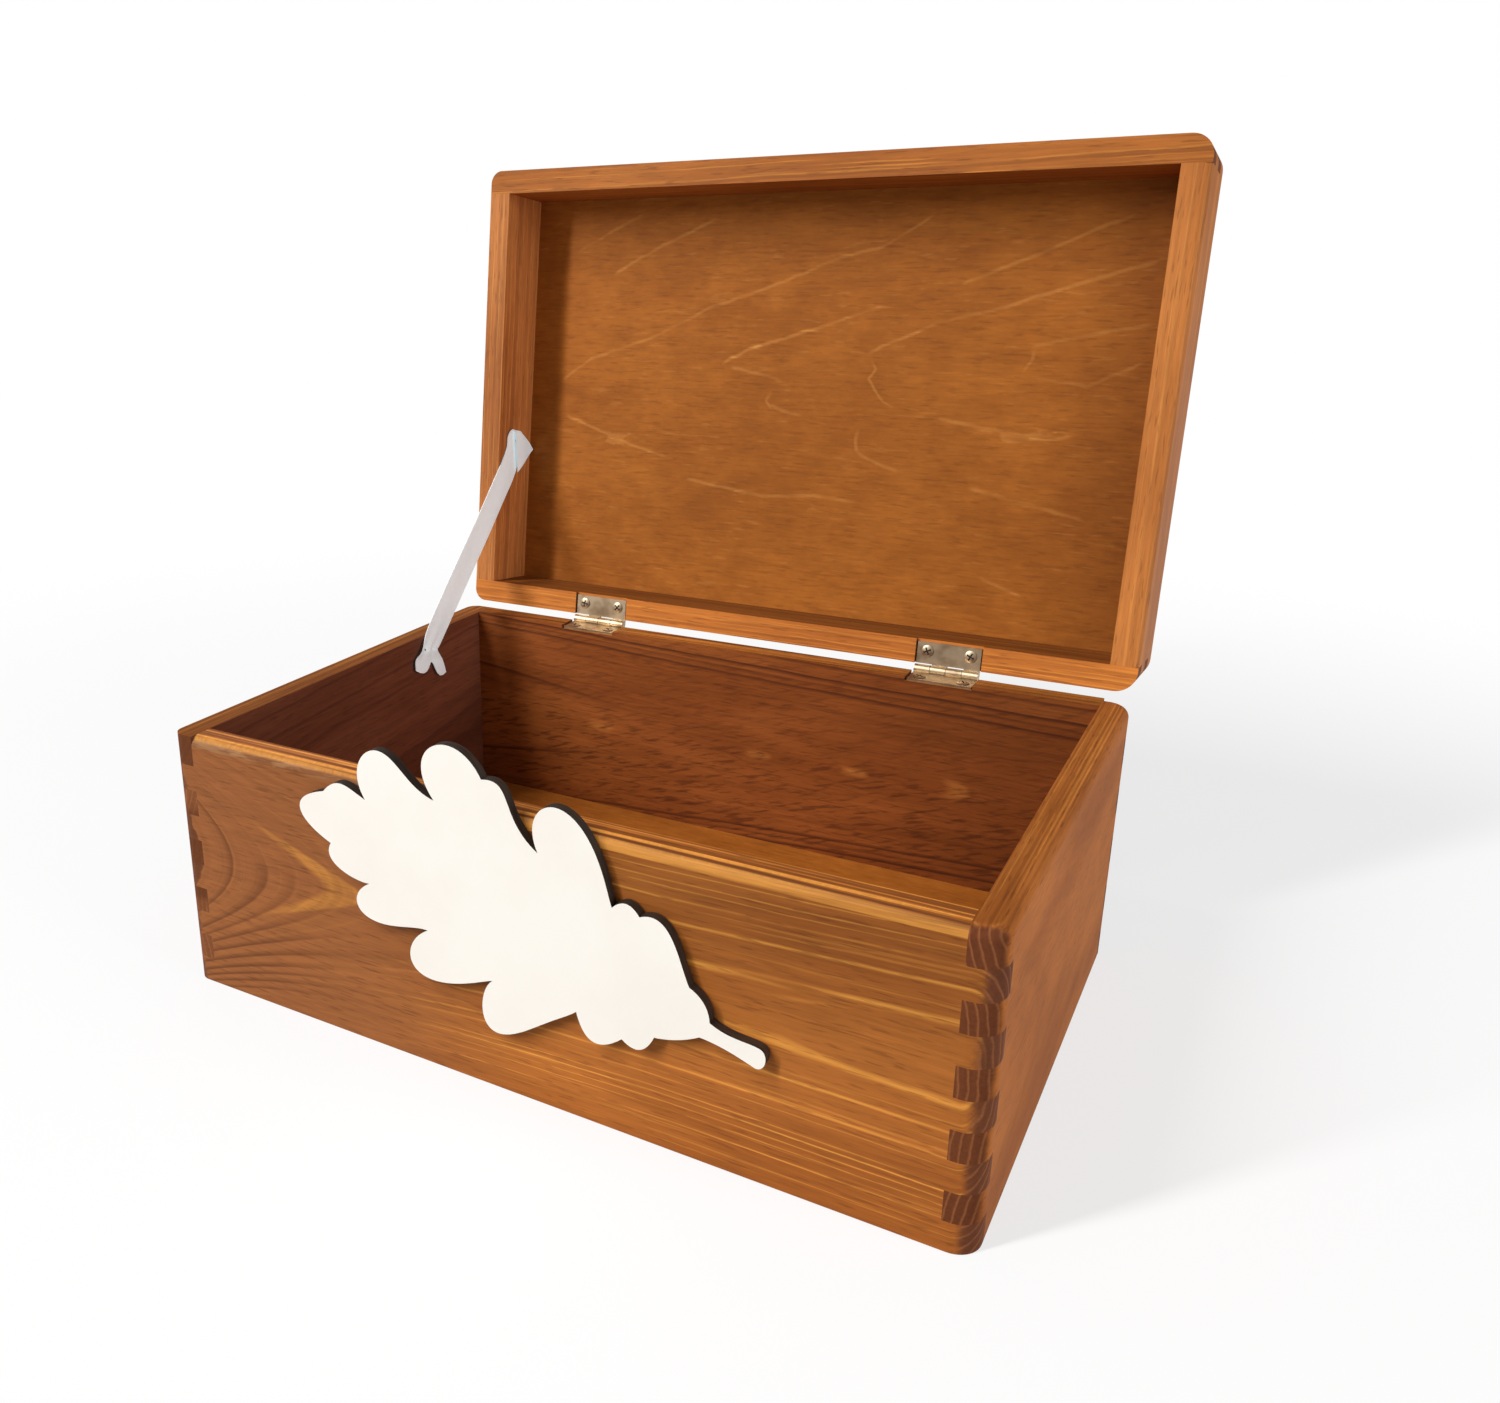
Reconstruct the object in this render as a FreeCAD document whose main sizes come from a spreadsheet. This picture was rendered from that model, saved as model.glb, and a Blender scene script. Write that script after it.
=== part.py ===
import FreeCAD, Part
import math
import os
import Sketcher

# Keepsake box of stained pine: finger-jointed carcass, hinged lid on a ribbon stay, oak-leaf plaque in front.
# Millimetres and degrees. Origin: middle of the lower front edge. X to the right, Y to the back, Z up.
# The lid is drawn shut on the box and then swung open about the hinge pins.

doc = FreeCAD.newDocument("KeepsakeBox")
V = FreeCAD.Vector

dimensions = (
    ("box_length", 300.0, "outside, left to right"),
    ("box_depth", 200.0, "outside, front to back"),
    ("box_height", 103.0, "lower box, foot to rim"),
    ("board_thickness", 10.0, "carcass boards and lid rails"),
    ("left_radius", 5.5, "upright outer corners on the left"),
    ("right_radius", 8.0, "upright outer corners on the right"),
    ("top_finger", 11.8, "height of the finger under the rim; the lower ones share the rest"),
    ("rim_round", 4.0, "round-over on the box's rim, in front and on the right"),
    ("lid_rim_round", 3.0, "round-over on the lid's rim, on the right"),
    ("floor_height", 12.7, "foot to the underside of the bottom panel"),
    ("floor_thickness", 4.0, "bottom panel"),
    ("groove_depth", 5.0, "panel grooves in the boards"),
    ("panel_play", 0.5, "between a panel's edge and the bottom of its groove"),
    ("lid_height", 36.5, "lid rails, rim to top"),
    ("lid_gap", 0.5, "between the two rims when shut"),
    ("panel_depth", 28.5, "lid's rim to the inner face of its panel"),
    ("panel_thickness", 4.0, "lid panel"),
    ("open_angle", 97.3, "where the ribbon stops the lid"),
    ("hinge_spacing", 160.0, "between the middles of the two hinges"),
    ("hinge_length", 25.4, "along the pin"),
    ("plate_thickness", 0.9, "hinge plates"),
    ("plate_margin", 1.0, "from a plate's free edge to the inner face of its board"),
    ("knuckle_radius", 1.9, "outside of the rolled knuckles"),
    ("knuckle_gap", 0.2, "between neighbouring knuckles along the pin"),
    ("knuckle_play", 0.3, "between a knuckle and what it turns past"),
    ("pin_radius", 0.95, "hinge pin"),
    ("pin_play", 0.03, "between pin and knuckle"),
    ("mortise_play", 0.6, "at each end of a hinge plate in its mortise"),
    ("screw_spacing", 17.2, "between the two screws of a plate"),
    ("screw_inset", 5.3, "from the back face to the screws"),
    ("screw_radius", 0.9, "shank"),
    ("screw_length", 8.0, "under the head"),
    ("screw_head_radius", 2.2, "pan head"),
    ("screw_head_height", 0.7, "pan head"),
    ("screw_play", 0.05, "between the shank and its hole in the plate"),
    ("plaque_length", 178.5, "oak leaf, end of the stem to the tip"),
    ("plaque_thickness", 3.5, "oak leaf"),
    ("plaque_tilt", 14.6, "fall of the leaf from its tip to its stem"),
    ("stem_right", 87.5, "end of the stem, right of the middle"),
    ("stem_height", 44.0, "end of the stem, above the foot"),
    ("tape_thickness", 0.5, "mounting tape behind the leaf"),
    ("tape_width", 10.0, "each strip"),
    ("tape_spacing", 20.0, "between the middles of the two strips"),
    ("tape_stem_margin", 50.0, "end of the stem to the strips"),
    ("tape_tip_margin", 48.0, "tip of the leaf to the strips"),
    ("ribbon_width", 13.0, "satin stay"),
    ("ribbon_thickness", 0.4, "satin stay"),
    ("ribbon_play", 0.2, "between the ribbon and the wood or the staple"),
    ("ribbon_box_inset", 54.0, "back face to the lower staple"),
    ("ribbon_box_drop", 8.0, "rim to the lower staple"),
    ("ribbon_lid_inset", 76.0, "lid's back face to the upper staple"),
    ("ribbon_lid_drop", 16.0, "lid's rim to the upper staple"),
    ("ribbon_tail", 11.0, "loose end below the lower staple"),
    ("ribbon_fold", 6.0, "turned end past the upper staple"),
    ("staple_width", 6.0, "outside of the legs"),
    ("staple_wire", 0.6, "square wire"),
    ("staple_leg", 5.0, "depth in the wood"),
)

finger_count = 10
lid_finger_count = 4
knuckle_count = 4
tiny = 0.001

sheet = doc.addObject("Spreadsheet::Sheet", "Dims")
for row, (alias, size, note) in enumerate(dimensions, start=1):
    sheet.set(f"A{row}", note)
    sheet.set(f"B{row}", str(size))
    sheet.setAlias(f"B{row}", alias)
doc.recompute()

# Places that several pieces share, written as expressions of the sheet
half_length = "Dims.box_length / 2"
half_depth = "Dims.box_depth / 2"
finger_height = f"(Dims.box_height - Dims.top_finger) / {finger_count - 1}"
lid_finger_height = f"Dims.lid_height / {lid_finger_count}"
setback = "(Dims.knuckle_radius + Dims.knuckle_play)"
hinge_y = f"(Dims.box_depth + {setback})"
hinge_z = "(Dims.box_height + Dims.lid_gap / 2)"
plate_face = "(Dims.knuckle_radius - Dims.plate_thickness)"
mortise_depth = "(Dims.knuckle_radius - Dims.lid_gap / 2)"
turn_none = "rotation(vector(0; 0; 1); 0)"
turn_over = "rotation(vector(0; 1; 0); 180)"
lid_swing = (
    f"placement(vector(0; {hinge_y}; {hinge_z}); rotation(vector(1; 0; 0); -Dims.open_angle))"
    f" * placement(vector(0; -{hinge_y}; -{hinge_z}); {turn_none})"
)


def place(piece, x="0", y="0", z="0", turn=turn_none, swing=None):
    own = f"placement(vector({x}; {y}; {z}); {turn})"
    piece.setExpression("Placement", f"{swing} * {own}" if swing else own)


def spin(degrees):
    return f"rotation(vector(0; 0; 1); {degrees})"


# Sketch helpers: every coordinate is an expression, measured from the sketch's origin
def value(expression):
    result = sheet.evalExpression(expression)
    return float(getattr(result, "Value", result))


def new_body(label):
    body = doc.addObject("PartDesign::Body", label)
    body.Label = label
    return body


def new_sketch(body, name, plane, lift=None):
    sketch = body.newObject("Sketcher::SketchObject", name)
    support = next(f for f in body.Origin.OriginFeatures if f.Role == plane)
    sketch.AttachmentSupport = [(support, "")]
    sketch.MapMode = "FlatFace"
    if lift:
        sketch.setExpression("AttachmentOffset.Base.z", lift)
    return sketch


def bind(sketch, kind, edge, point, expression):
    if expression == "0":
        axis = -2 if kind == "DistanceX" else -1
        sketch.addConstraint(Sketcher.Constraint("PointOnObject", edge, point, axis))
        return
    constraint = Sketcher.Constraint(kind, -1, 1, edge, point, value(expression))
    index = sketch.addConstraint(constraint)
    sketch.setExpression(f"Constraints[{index}]", expression)


def bind_radius(sketch, edge, expression):
    index = sketch.addConstraint(Sketcher.Constraint("Radius", edge, value(expression)))
    sketch.setExpression(f"Constraints[{index}]", expression)


def join(sketch, kind, edge, following):
    sketch.addConstraint(Sketcher.Constraint(kind, edge, 2, following, 1))


def align(sketch, kind, *edges):
    for edge in edges:
        sketch.addConstraint(Sketcher.Constraint(kind, edge))


def rectangle(sketch, left, right, low, high):
    x0, x1, y0, y1 = value(left), value(right), value(low), value(high)
    corners = [V(x0, y0, 0), V(x1, y0, 0), V(x1, y1, 0), V(x0, y1, 0)]
    sides = [sketch.addGeometry(Part.LineSegment(corners[i - 1], corners[i]), False) for i in range(4)]
    for i in range(4):
        join(sketch, "Coincident", sides[i - 1], sides[i])
    align(sketch, "Vertical", sides[0], sides[2])
    align(sketch, "Horizontal", sides[1], sides[3])
    bind(sketch, "DistanceX", sides[0], 1, left)
    bind(sketch, "DistanceX", sides[2], 1, right)
    bind(sketch, "DistanceY", sides[1], 1, low)
    bind(sketch, "DistanceY", sides[3], 1, high)


def circle(sketch, x, y, radius):
    middle = V(value(x), value(y), 0)
    ring = sketch.addGeometry(Part.Circle(middle, V(0, 0, 1), value(radius)), False)
    bind(sketch, "DistanceX", ring, 3, x)
    bind(sketch, "DistanceY", ring, 3, y)
    bind_radius(sketch, ring, radius)


def extrude(body, kind, sketch, name, length):
    feature = body.newObject(f"PartDesign::{kind}", name)
    feature.Profile = sketch
    feature.setExpression("Length", length)
    doc.recompute()
    return feature


def pattern(body, originals, name, axis, length, count):
    feature = body.newObject("PartDesign::LinearPattern", name)
    feature.Originals = originals
    feature.Direction = (next(f for f in body.Origin.OriginFeatures if f.Role == axis), [""])
    feature.Occurrences = count
    feature.setExpression("Length", length)
    body.Tip = feature
    doc.recompute()
    return feature


# Boards and rails: drawn with the outer face on Y = 0, the length along X and the lower edge on Z = 0
def rounded_plan(sketch, half, corners):
    # corners are the radii of the board's first and last outer corner
    end, depth = value(half), value("Dims.board_thickness")
    first, last = (value(corner) for corner in corners)
    right = Part.Circle(V(end - last, last, 0), V(0, 0, 1), last)
    left = Part.Circle(V(first - end, first, 0), V(0, 0, 1), first)
    outer = sketch.addGeometry(Part.LineSegment(V(first - end, 0, 0), V(end - last, 0, 0)), False)
    right_arc = sketch.addGeometry(Part.ArcOfCircle(right, -math.pi / 2, 0), False)
    right_end = sketch.addGeometry(Part.LineSegment(V(end, last, 0), V(end, depth, 0)), False)
    inner = sketch.addGeometry(Part.LineSegment(V(end, depth, 0), V(-end, depth, 0)), False)
    left_end = sketch.addGeometry(Part.LineSegment(V(-end, depth, 0), V(-end, first, 0)), False)
    left_arc = sketch.addGeometry(Part.ArcOfCircle(left, math.pi, math.pi * 1.5), False)
    join(sketch, "Tangent", outer, right_arc)
    join(sketch, "Tangent", right_arc, right_end)
    join(sketch, "Coincident", right_end, inner)
    join(sketch, "Coincident", inner, left_end)
    join(sketch, "Tangent", left_end, left_arc)
    join(sketch, "Tangent", left_arc, outer)
    align(sketch, "Horizontal", outer, inner)
    align(sketch, "Vertical", right_end, left_end)
    bind_radius(sketch, left_arc, corners[0])
    bind_radius(sketch, right_arc, corners[1])
    bind(sketch, "DistanceY", outer, 1, "0")
    bind(sketch, "DistanceY", inner, 1, "Dims.board_thickness")
    bind(sketch, "DistanceX", right_end, 2, half)
    bind(sketch, "DistanceX", left_end, 1, f"-({half})")


def finger_board(label, half, corners, height, step, first, shared, last=None):
    # fingers of one board take every second layer, from layer number first; shared counts the even layers
    body = new_body(label)
    shoulder = f"{half} - Dims.board_thickness"
    core = new_sketch(body, "CorePlan", "XY_Plane")
    rectangle(core, f"-({shoulder})", shoulder, "0", "Dims.board_thickness")
    extrude(body, "Pad", core, "Core", height)
    plan = new_sketch(body, "FingerPlan", "XY_Plane", f"{first} * {step}")
    rounded_plan(plan, half, corners)
    finger = extrude(body, "Pad", plan, "Finger", step)
    count = math.ceil((shared - first) / 2)
    pattern(body, [finger], "Fingers", "Z_Axis", f"2 * ({count} - 1) * {step}", count)
    if last and (shared - first) % 2 == 0:
        top_plan = new_sketch(body, "TopFingerPlan", "XY_Plane", f"{height} - {last}")
        rounded_plan(top_plan, half, corners)
        extrude(body, "Pad", top_plan, "TopFinger", last)
    return body


def groove(body, half, top, width):
    reach = f"{half} - Dims.board_thickness + Dims.groove_depth"
    sketch = new_sketch(body, "GroovePlan", "XY_Plane", top)
    rectangle(sketch, f"-({reach})", reach, "Dims.board_thickness - Dims.groove_depth", "Dims.board_thickness")
    extrude(body, "Pocket", sketch, "PanelGroove", width)


def hinge_seats(body, mortise_top):
    mortises = new_sketch(body, "MortisePlan", "XY_Plane", mortise_top)
    reach = "(Dims.hinge_length / 2 + Dims.mortise_play)"
    for side in ("-1", "1"):
        middle = f"{side} * Dims.hinge_spacing / 2"
        rectangle(mortises, f"{middle} - {reach}", f"{middle} + {reach}", "0", "Dims.board_thickness")
    extrude(body, "Pocket", mortises, "Mortises", mortise_depth)


def round_rim(body, level, reach, radius):
    # the outer edges at this level whose middles lie within reach of the outer face
    names = []
    for number, edge in enumerate(body.Shape.Edges, start=1):
        middle = edge.valueAt((edge.FirstParameter + edge.LastParameter) / 2)
        flat = all(abs(point.z - level) < tiny for point in [middle] + [v.Point for v in edge.Vertexes])
        if flat and middle.y < reach:
            names.append(f"Edge{number}")
    base = body.Tip
    feature = body.newObject("PartDesign::Fillet", "RimRound")
    feature.Base = (base, names)
    feature.setExpression("Radius", radius)
    body.Tip = feature
    doc.recompute()


left, right = "Dims.left_radius", "Dims.right_radius"
sides = (
    ("front", half_length, (left, right), 0, ("0", "0", 0)),
    ("back", half_length, (right, left), 0, ("0", "Dims.box_depth", 180)),
    ("left", half_depth, (left, left), 1, (f"-{half_length}", half_depth, -90)),
    ("right", half_depth, (right, right), 1, (half_length, half_depth, 90)),
)
floor_top = "Dims.floor_height + Dims.floor_thickness"
panel_top = "Dims.panel_depth + Dims.panel_thickness"
pieces = []

for side, half, corners, first, (x, y, turn) in sides:
    board = finger_board(
        f"{side}_board", half, corners, "Dims.box_height", finger_height, first, finger_count - 1, "Dims.top_finger"
    )
    groove(board, half, floor_top, "Dims.floor_thickness")
    if side == "back":
        hinge_seats(board, "Dims.box_height")
    if side == "front":
        round_rim(board, value("Dims.box_height"), tiny, "Dims.rim_round")
    if side == "right":
        round_rim(board, value("Dims.box_height"), value("Dims.board_thickness") - tiny, "Dims.rim_round")
    place(board, x, y, "0", spin(turn))
    pieces.append(board)

for side, half, corners, first, (x, y, turn) in sides:
    rail = finger_board(
        f"lid_{side}_rail", half, corners, "Dims.lid_height", lid_finger_height, first, lid_finger_count
    )
    groove(rail, half, panel_top, "Dims.panel_thickness")
    if side == "back":
        hinge_seats(rail, mortise_depth)
    if side == "right":
        round_rim(rail, 0, tiny, "Dims.lid_rim_round")
    place(rail, x, y, "Dims.box_height + Dims.lid_gap", spin(turn), lid_swing)
    pieces.append(rail)


# Panels: loose in their grooves, flat faces on the groove walls
def panel(label, thickness, level, swing=None):
    board = doc.addObject("Part::Box", label)
    board.Label = label
    margin = "(Dims.board_thickness - Dims.groove_depth + Dims.panel_play)"
    board.setExpression("Length", f"Dims.box_length - 2 * {margin}")
    board.setExpression("Width", f"Dims.box_depth - 2 * {margin}")
    board.setExpression("Height", thickness)
    place(board, f"{margin} - {half_length}", margin, level, swing=swing)
    pieces.append(board)


panel("bottom_panel", "Dims.floor_thickness", "Dims.floor_height")
panel("lid_panel", "Dims.panel_thickness", "Dims.box_height + Dims.lid_gap + Dims.panel_depth", lid_swing)


# Hinges: both plates of a hinge are one stamping, and the lid's is turned over so that the knuckles mesh
def hinge_plate(label):
    body = new_body(label)
    radius, face = value("Dims.knuckle_radius"), value(plate_face)
    width = f"({setback} + Dims.board_thickness - Dims.plate_margin)"
    free = -value(width)
    meeting = -math.sqrt(radius ** 2 - face ** 2)
    start = "-Dims.hinge_length / 2"
    profile = new_sketch(body, "Profile", "YZ_Plane", start)
    barrel = Part.Circle(V(0, 0, 0), V(0, 0, 1), radius)
    under = profile.addGeometry(Part.LineSegment(V(free, -radius, 0), V(0, -radius, 0)), False)
    roll_end = math.pi + math.asin(face / radius)
    roll = profile.addGeometry(Part.ArcOfCircle(barrel, -math.pi / 2, roll_end), False)
    upper = profile.addGeometry(Part.LineSegment(V(meeting, -face, 0), V(free, -face, 0)), False)
    edge = profile.addGeometry(Part.LineSegment(V(free, -face, 0), V(free, -radius, 0)), False)
    join(profile, "Tangent", under, roll)
    join(profile, "Coincident", roll, upper)
    join(profile, "Coincident", upper, edge)
    join(profile, "Coincident", edge, under)
    align(profile, "Horizontal", under, upper)
    align(profile, "Vertical", edge)
    profile.addConstraint(Sketcher.Constraint("Coincident", roll, 3, -1, 1))
    bind_radius(profile, roll, "Dims.knuckle_radius")
    bind(profile, "DistanceY", upper, 1, f"-{plate_face}")
    bind(profile, "DistanceX", edge, 1, f"-{width}")
    extrude(body, "Pad", profile, "RolledPlate", "Dims.hinge_length")

    pitch = f"Dims.hinge_length / {knuckle_count}"
    notch = new_sketch(body, "NotchPlan", "XY_Plane", "2 * Dims.knuckle_radius")
    rectangle(
        notch, f"{start} + {pitch} - Dims.knuckle_gap / 2", f"{start} + 2 * {pitch} + Dims.knuckle_gap / 2",
        f"-{setback}", "2 * Dims.knuckle_radius",
    )
    notch_cut = extrude(body, "Pocket", notch, "Notch", "4 * Dims.knuckle_radius")
    notches = knuckle_count // 2
    pattern(body, [notch_cut], "Notches", "X_Axis", f"2 * ({notches} - 1) * {pitch}", notches)

    bore = new_sketch(body, "BorePlan", "YZ_Plane", "Dims.hinge_length / 2")
    circle(bore, "0", "0", "Dims.pin_radius + Dims.pin_play")
    extrude(body, "Pocket", bore, "PinBore", "Dims.hinge_length")
    holes = new_sketch(body, "HolePlan", "XY_Plane", f"-{plate_face}")
    for end in ("-1", "1"):
        circle(
            holes, f"{end} * Dims.screw_spacing / 2", f"-{setback} - Dims.screw_inset",
            "Dims.screw_radius + Dims.screw_play",
        )
    extrude(body, "Pocket", holes, "ScrewHoles", "Dims.plate_thickness")
    return body


for side, sign in (("left", "-1"), ("right", "1")):
    middle = f"{sign} * Dims.hinge_spacing / 2"
    box_plate = hinge_plate(f"{side}_hinge_box_plate")
    place(box_plate, middle, hinge_y, hinge_z)
    lid_plate = hinge_plate(f"{side}_hinge_lid_plate")
    place(lid_plate, middle, hinge_y, hinge_z, turn_over, lid_swing)
    pin = doc.addObject("Part::Cylinder", f"{side}_hinge_pin")
    pin.Label = f"{side}_hinge_pin"
    pin.setExpression("Radius", "Dims.pin_radius")
    pin.setExpression("Height", "Dims.hinge_length")
    along = "rotation(vector(0; 1; 0); 90)"
    place(pin, f"{middle} - Dims.hinge_length / 2", hinge_y, hinge_z, along)
    pieces += [box_plate, lid_plate, pin]


# Screws: pan heads, two to a plate; the origin is under the head of the first one
def screw_set(label):
    body = new_body(label)
    head, rise = value("Dims.screw_head_radius"), value("Dims.screw_head_height")
    shank, length = value("Dims.screw_radius"), value("Dims.screw_length")
    corners = [(0, rise), (0, -length), (shank, -length), (shank, 0), (head, 0), (head, rise)]
    profile = new_sketch(body, "Profile", "XZ_Plane")
    for start, end in zip(corners, corners[1:] + corners[:1]):
        profile.addGeometry(Part.LineSegment(V(*start, 0), V(*end, 0)), False)
    axis, tip, wall, seat, rim, top = range(len(corners))
    for edge in range(len(corners)):
        join(profile, "Coincident", edge, (edge + 1) % len(corners))
    align(profile, "Vertical", axis, wall, rim)
    align(profile, "Horizontal", tip, seat, top)
    bind(profile, "DistanceX", axis, 1, "0")
    bind(profile, "DistanceY", axis, 1, "Dims.screw_head_height")
    bind(profile, "DistanceY", axis, 2, "-Dims.screw_length")
    bind(profile, "DistanceX", wall, 1, "Dims.screw_radius")
    bind(profile, "DistanceY", seat, 1, "0")
    bind(profile, "DistanceX", rim, 1, "Dims.screw_head_radius")
    turned = body.newObject("PartDesign::Revolution", "Turned")
    turned.Profile = profile
    turned.ReferenceAxis = (profile, ["V_Axis"])
    doc.recompute()

    pattern(body, [turned], "Pair", "X_Axis", "Dims.screw_spacing", 2)
    both = pattern(body, [], "BothHinges", "X_Axis", "Dims.hinge_spacing", 2)
    both.TransformMode = "Whole shape"
    doc.recompute()
    return body


screw_start = "(Dims.hinge_spacing + Dims.screw_spacing) / 2"
screw_y = "Dims.box_depth - Dims.screw_inset"
box_screws = screw_set("hinge_box_screws")
place(box_screws, f"-{screw_start}", screw_y, f"{hinge_z} - {plate_face}")
lid_screws = screw_set("hinge_lid_screws")
place(lid_screws, screw_start, screw_y, f"{hinge_z} + {plate_face}", turn_over, lid_swing)
pieces += [box_screws, lid_screws]


# Oak-leaf plaque: each lobe is one smooth curve from notch to notch, given by its control points.
# They run from the tip along the upper side to the stem and back, as distances from the end of the stem.
drawn_length = 178.5
lobes = (
    ((-163.0, -7.5), (-177.0, -5.6), (-186.2, 1.1), (-169.5, 10.5)),
    ((-169.5, 10.5), (-164.9, 19.4), (-160.4, 16.9), (-152.0, 15.7)),
    ((-152.0, 15.7), (-167.9, 29.7), (-144.5, 49.4), (-145.1, 28.2), (-126.0, 28.6)),
    ((-126.0, 28.6), (-143.8, 41.8), (-124.7, 59.2), (-110.7, 44.2)),
    ((-110.7, 44.2), (-99.4, 49.9), (-102.1, 34.8), (-86.0, 29.5)),
    ((-86.0, 29.5), (-100.3, 46.2), (-75.0, 64.6), (-62.9, 31.3), (-58.0, 24.6)),
    ((-58.0, 24.6), (-55.6, 29.0), (-52.6, 29.5), (-48.8, 26.3)),
    ((-48.8, 26.3), (-39.7, 34.2), (-33.0, 17.8), (-28.0, 12.3)),
    ((-28.0, 12.3), (-23.6, 11.5), (-20.4, 8.8), (-19.0, 4.5)),
    ((-19.0, 4.5), (-12.0, 2.6), (-7.5, 5.2), (-2.8, 5.1)),
    ((-2.8, 5.1), (0.6, 4.9), (1.2, -1.8), (-2.4, -1.9)),
    ((-2.4, -1.9), (-9.0, -1.2), (-14.5, -0.9), (-20.6, -2.1)),
    ((-20.6, -2.1), (-24.3, -5.9), (-28.7, -8.9), (-33.7, -10.8)),
    ((-33.7, -10.8), (-34.6, -16.6), (-37.1, -20.6), (-43.4, -17.8)),
    ((-43.4, -17.8), (-49.3, -26.7), (-54.9, -27.2), (-60.2, -17.5)),
    ((-60.2, -17.5), (-68.0, -28.6), (-72.9, -24.0), (-86.2, -69.3), (-98.7, -33.2), (-91.0, -24.0)),
    ((-91.0, -24.0), (-96.0, -26.6), (-121.7, -53.9), (-131.4, -31.2), (-118.6, -19.5)),
    ((-118.6, -19.5), (-127.7, -20.6), (-141.5, -37.1), (-156.8, -26.1), (-144.6, -14.6)),
    ((-144.6, -14.6), (-150.3, -17.0), (-166.2, -16.7), (-163.0, -7.5)),
)
plaque_turn = "rotation(vector(0; 1; 0); Dims.plaque_tilt)"
plaque = new_body("leaf_plaque")
outline = new_sketch(plaque, "LeafOutline", "XZ_Plane")
enlarge = value("Dims.plaque_length") / drawn_length
for lobe in lobes:
    curve = Part.BSplineCurve()
    poles = [V(along * enlarge, across * enlarge, 0) for along, across in lobe]
    curve.buildFromPoles(poles, False, len(poles) - 1)
    outline.addGeometry(curve, False)
extrude(plaque, "Pad", outline, "Leaf", "Dims.plaque_thickness")
place(plaque, "Dims.stem_right", "-Dims.tape_thickness", "Dims.stem_height", plaque_turn)

tape = new_body("plaque_tape")
strips = new_sketch(tape, "StripPlan", "XZ_Plane")
for side in ("-1", "1"):
    middle = f"{side} * Dims.tape_spacing / 2"
    rectangle(
        strips, "Dims.tape_tip_margin - Dims.plaque_length", "-Dims.tape_stem_margin",
        f"{middle} - Dims.tape_width / 2", f"{middle} + Dims.tape_width / 2",
    )
extrude(tape, "Pad", strips, "Strips", "Dims.tape_thickness")
place(tape, "Dims.stem_right", "0", "Dims.stem_height", plaque_turn)
pieces += [plaque, tape]

# Ribbon stay: a flat band along the left wall, pulled straight between its two staples by the open lid
inner_left = "(Dims.board_thickness - Dims.box_length / 2)"
box_end_y = "(Dims.box_depth - Dims.ribbon_box_inset)"
box_end_z = "(Dims.box_height - Dims.ribbon_box_drop)"
shut_y = f"(-{setback} - Dims.ribbon_lid_inset)"
shut_z = "(Dims.lid_gap / 2 + Dims.ribbon_lid_drop)"
rise_y = f"({hinge_y} + {shut_y} * cos(Dims.open_angle) + {shut_z} * sin(Dims.open_angle) - {box_end_y})"
rise_z = f"({hinge_z} - {shut_y} * sin(Dims.open_angle) + {shut_z} * cos(Dims.open_angle) - {box_end_z})"
span = f"sqrt({rise_y} ^ 2 + {rise_z} ^ 2)"
lean = f"placement(vector(0; 0; 0); rotation(vector(1; 0; 0); atan2({rise_z}; {rise_y})))"
along_wall = f"placement(vector({inner_left}; {box_end_y}; {box_end_z}); {turn_none}) * {lean}"
on_wall = "rotation(vector(1; 1; 1); 120)"
leg_place = "(Dims.staple_width / 2)"

ribbon = new_body("ribbon_stay")
band = new_sketch(ribbon, "BandPlan", "XY_Plane", "Dims.ribbon_play")
half_width = "Dims.ribbon_width / 2"
rectangle(band, "-Dims.ribbon_tail", f"{span} + Dims.ribbon_fold", f"-{half_width}", half_width)
for middle in ("0 * Dims.ribbon_width", span):
    slit = "(Dims.staple_wire / 2 + Dims.ribbon_play)"
    inside = f"{leg_place} - Dims.staple_wire - Dims.ribbon_play"
    outside = f"{leg_place} + Dims.ribbon_play"
    for low, high in ((inside, outside), (f"-({outside})", f"-({inside})")):
        rectangle(band, f"{middle} - {slit}", f"{middle} + {slit}", low, high)
extrude(ribbon, "Pad", band, "Band", "Dims.ribbon_thickness")
place(ribbon, turn=on_wall, swing=along_wall)
pieces.append(ribbon)


def staple(label, middle):
    body = new_body(label)
    crown = "(2 * Dims.ribbon_play + Dims.ribbon_thickness)"
    start = "-Dims.staple_wire / 2"
    block = new_sketch(body, "BlockProfile", "YZ_Plane", start)
    rectangle(block, f"-{leg_place}", leg_place, "-Dims.staple_leg", f"{crown} + Dims.staple_wire")
    extrude(body, "Pad", block, "Block", "Dims.staple_wire")
    inside = f"{leg_place} - Dims.staple_wire"
    gap = new_sketch(body, "GapProfile", "YZ_Plane", "Dims.staple_wire / 2")
    rectangle(gap, f"-({inside})", inside, "-2 * Dims.staple_leg", crown)
    extrude(body, "Pocket", gap, "Gap", "Dims.staple_wire")
    place(body, middle, turn=turn_none, swing=f"{along_wall} * placement(vector(0; 0; 0); {on_wall})")
    pieces.append(body)


staple("ribbon_box_staple", "0")
staple("ribbon_lid_staple", span)

doc.recompute()
for item in doc.Objects:
    if "Invalid" in item.State or "Error" in item.State:
        raise RuntimeError(f"{item.Label} was not built: {item.State}")
for piece in pieces:
    if piece.Shape.isNull() or not piece.Shape.isValid():
        raise RuntimeError(f"{piece.Label} has no valid shape")

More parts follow.
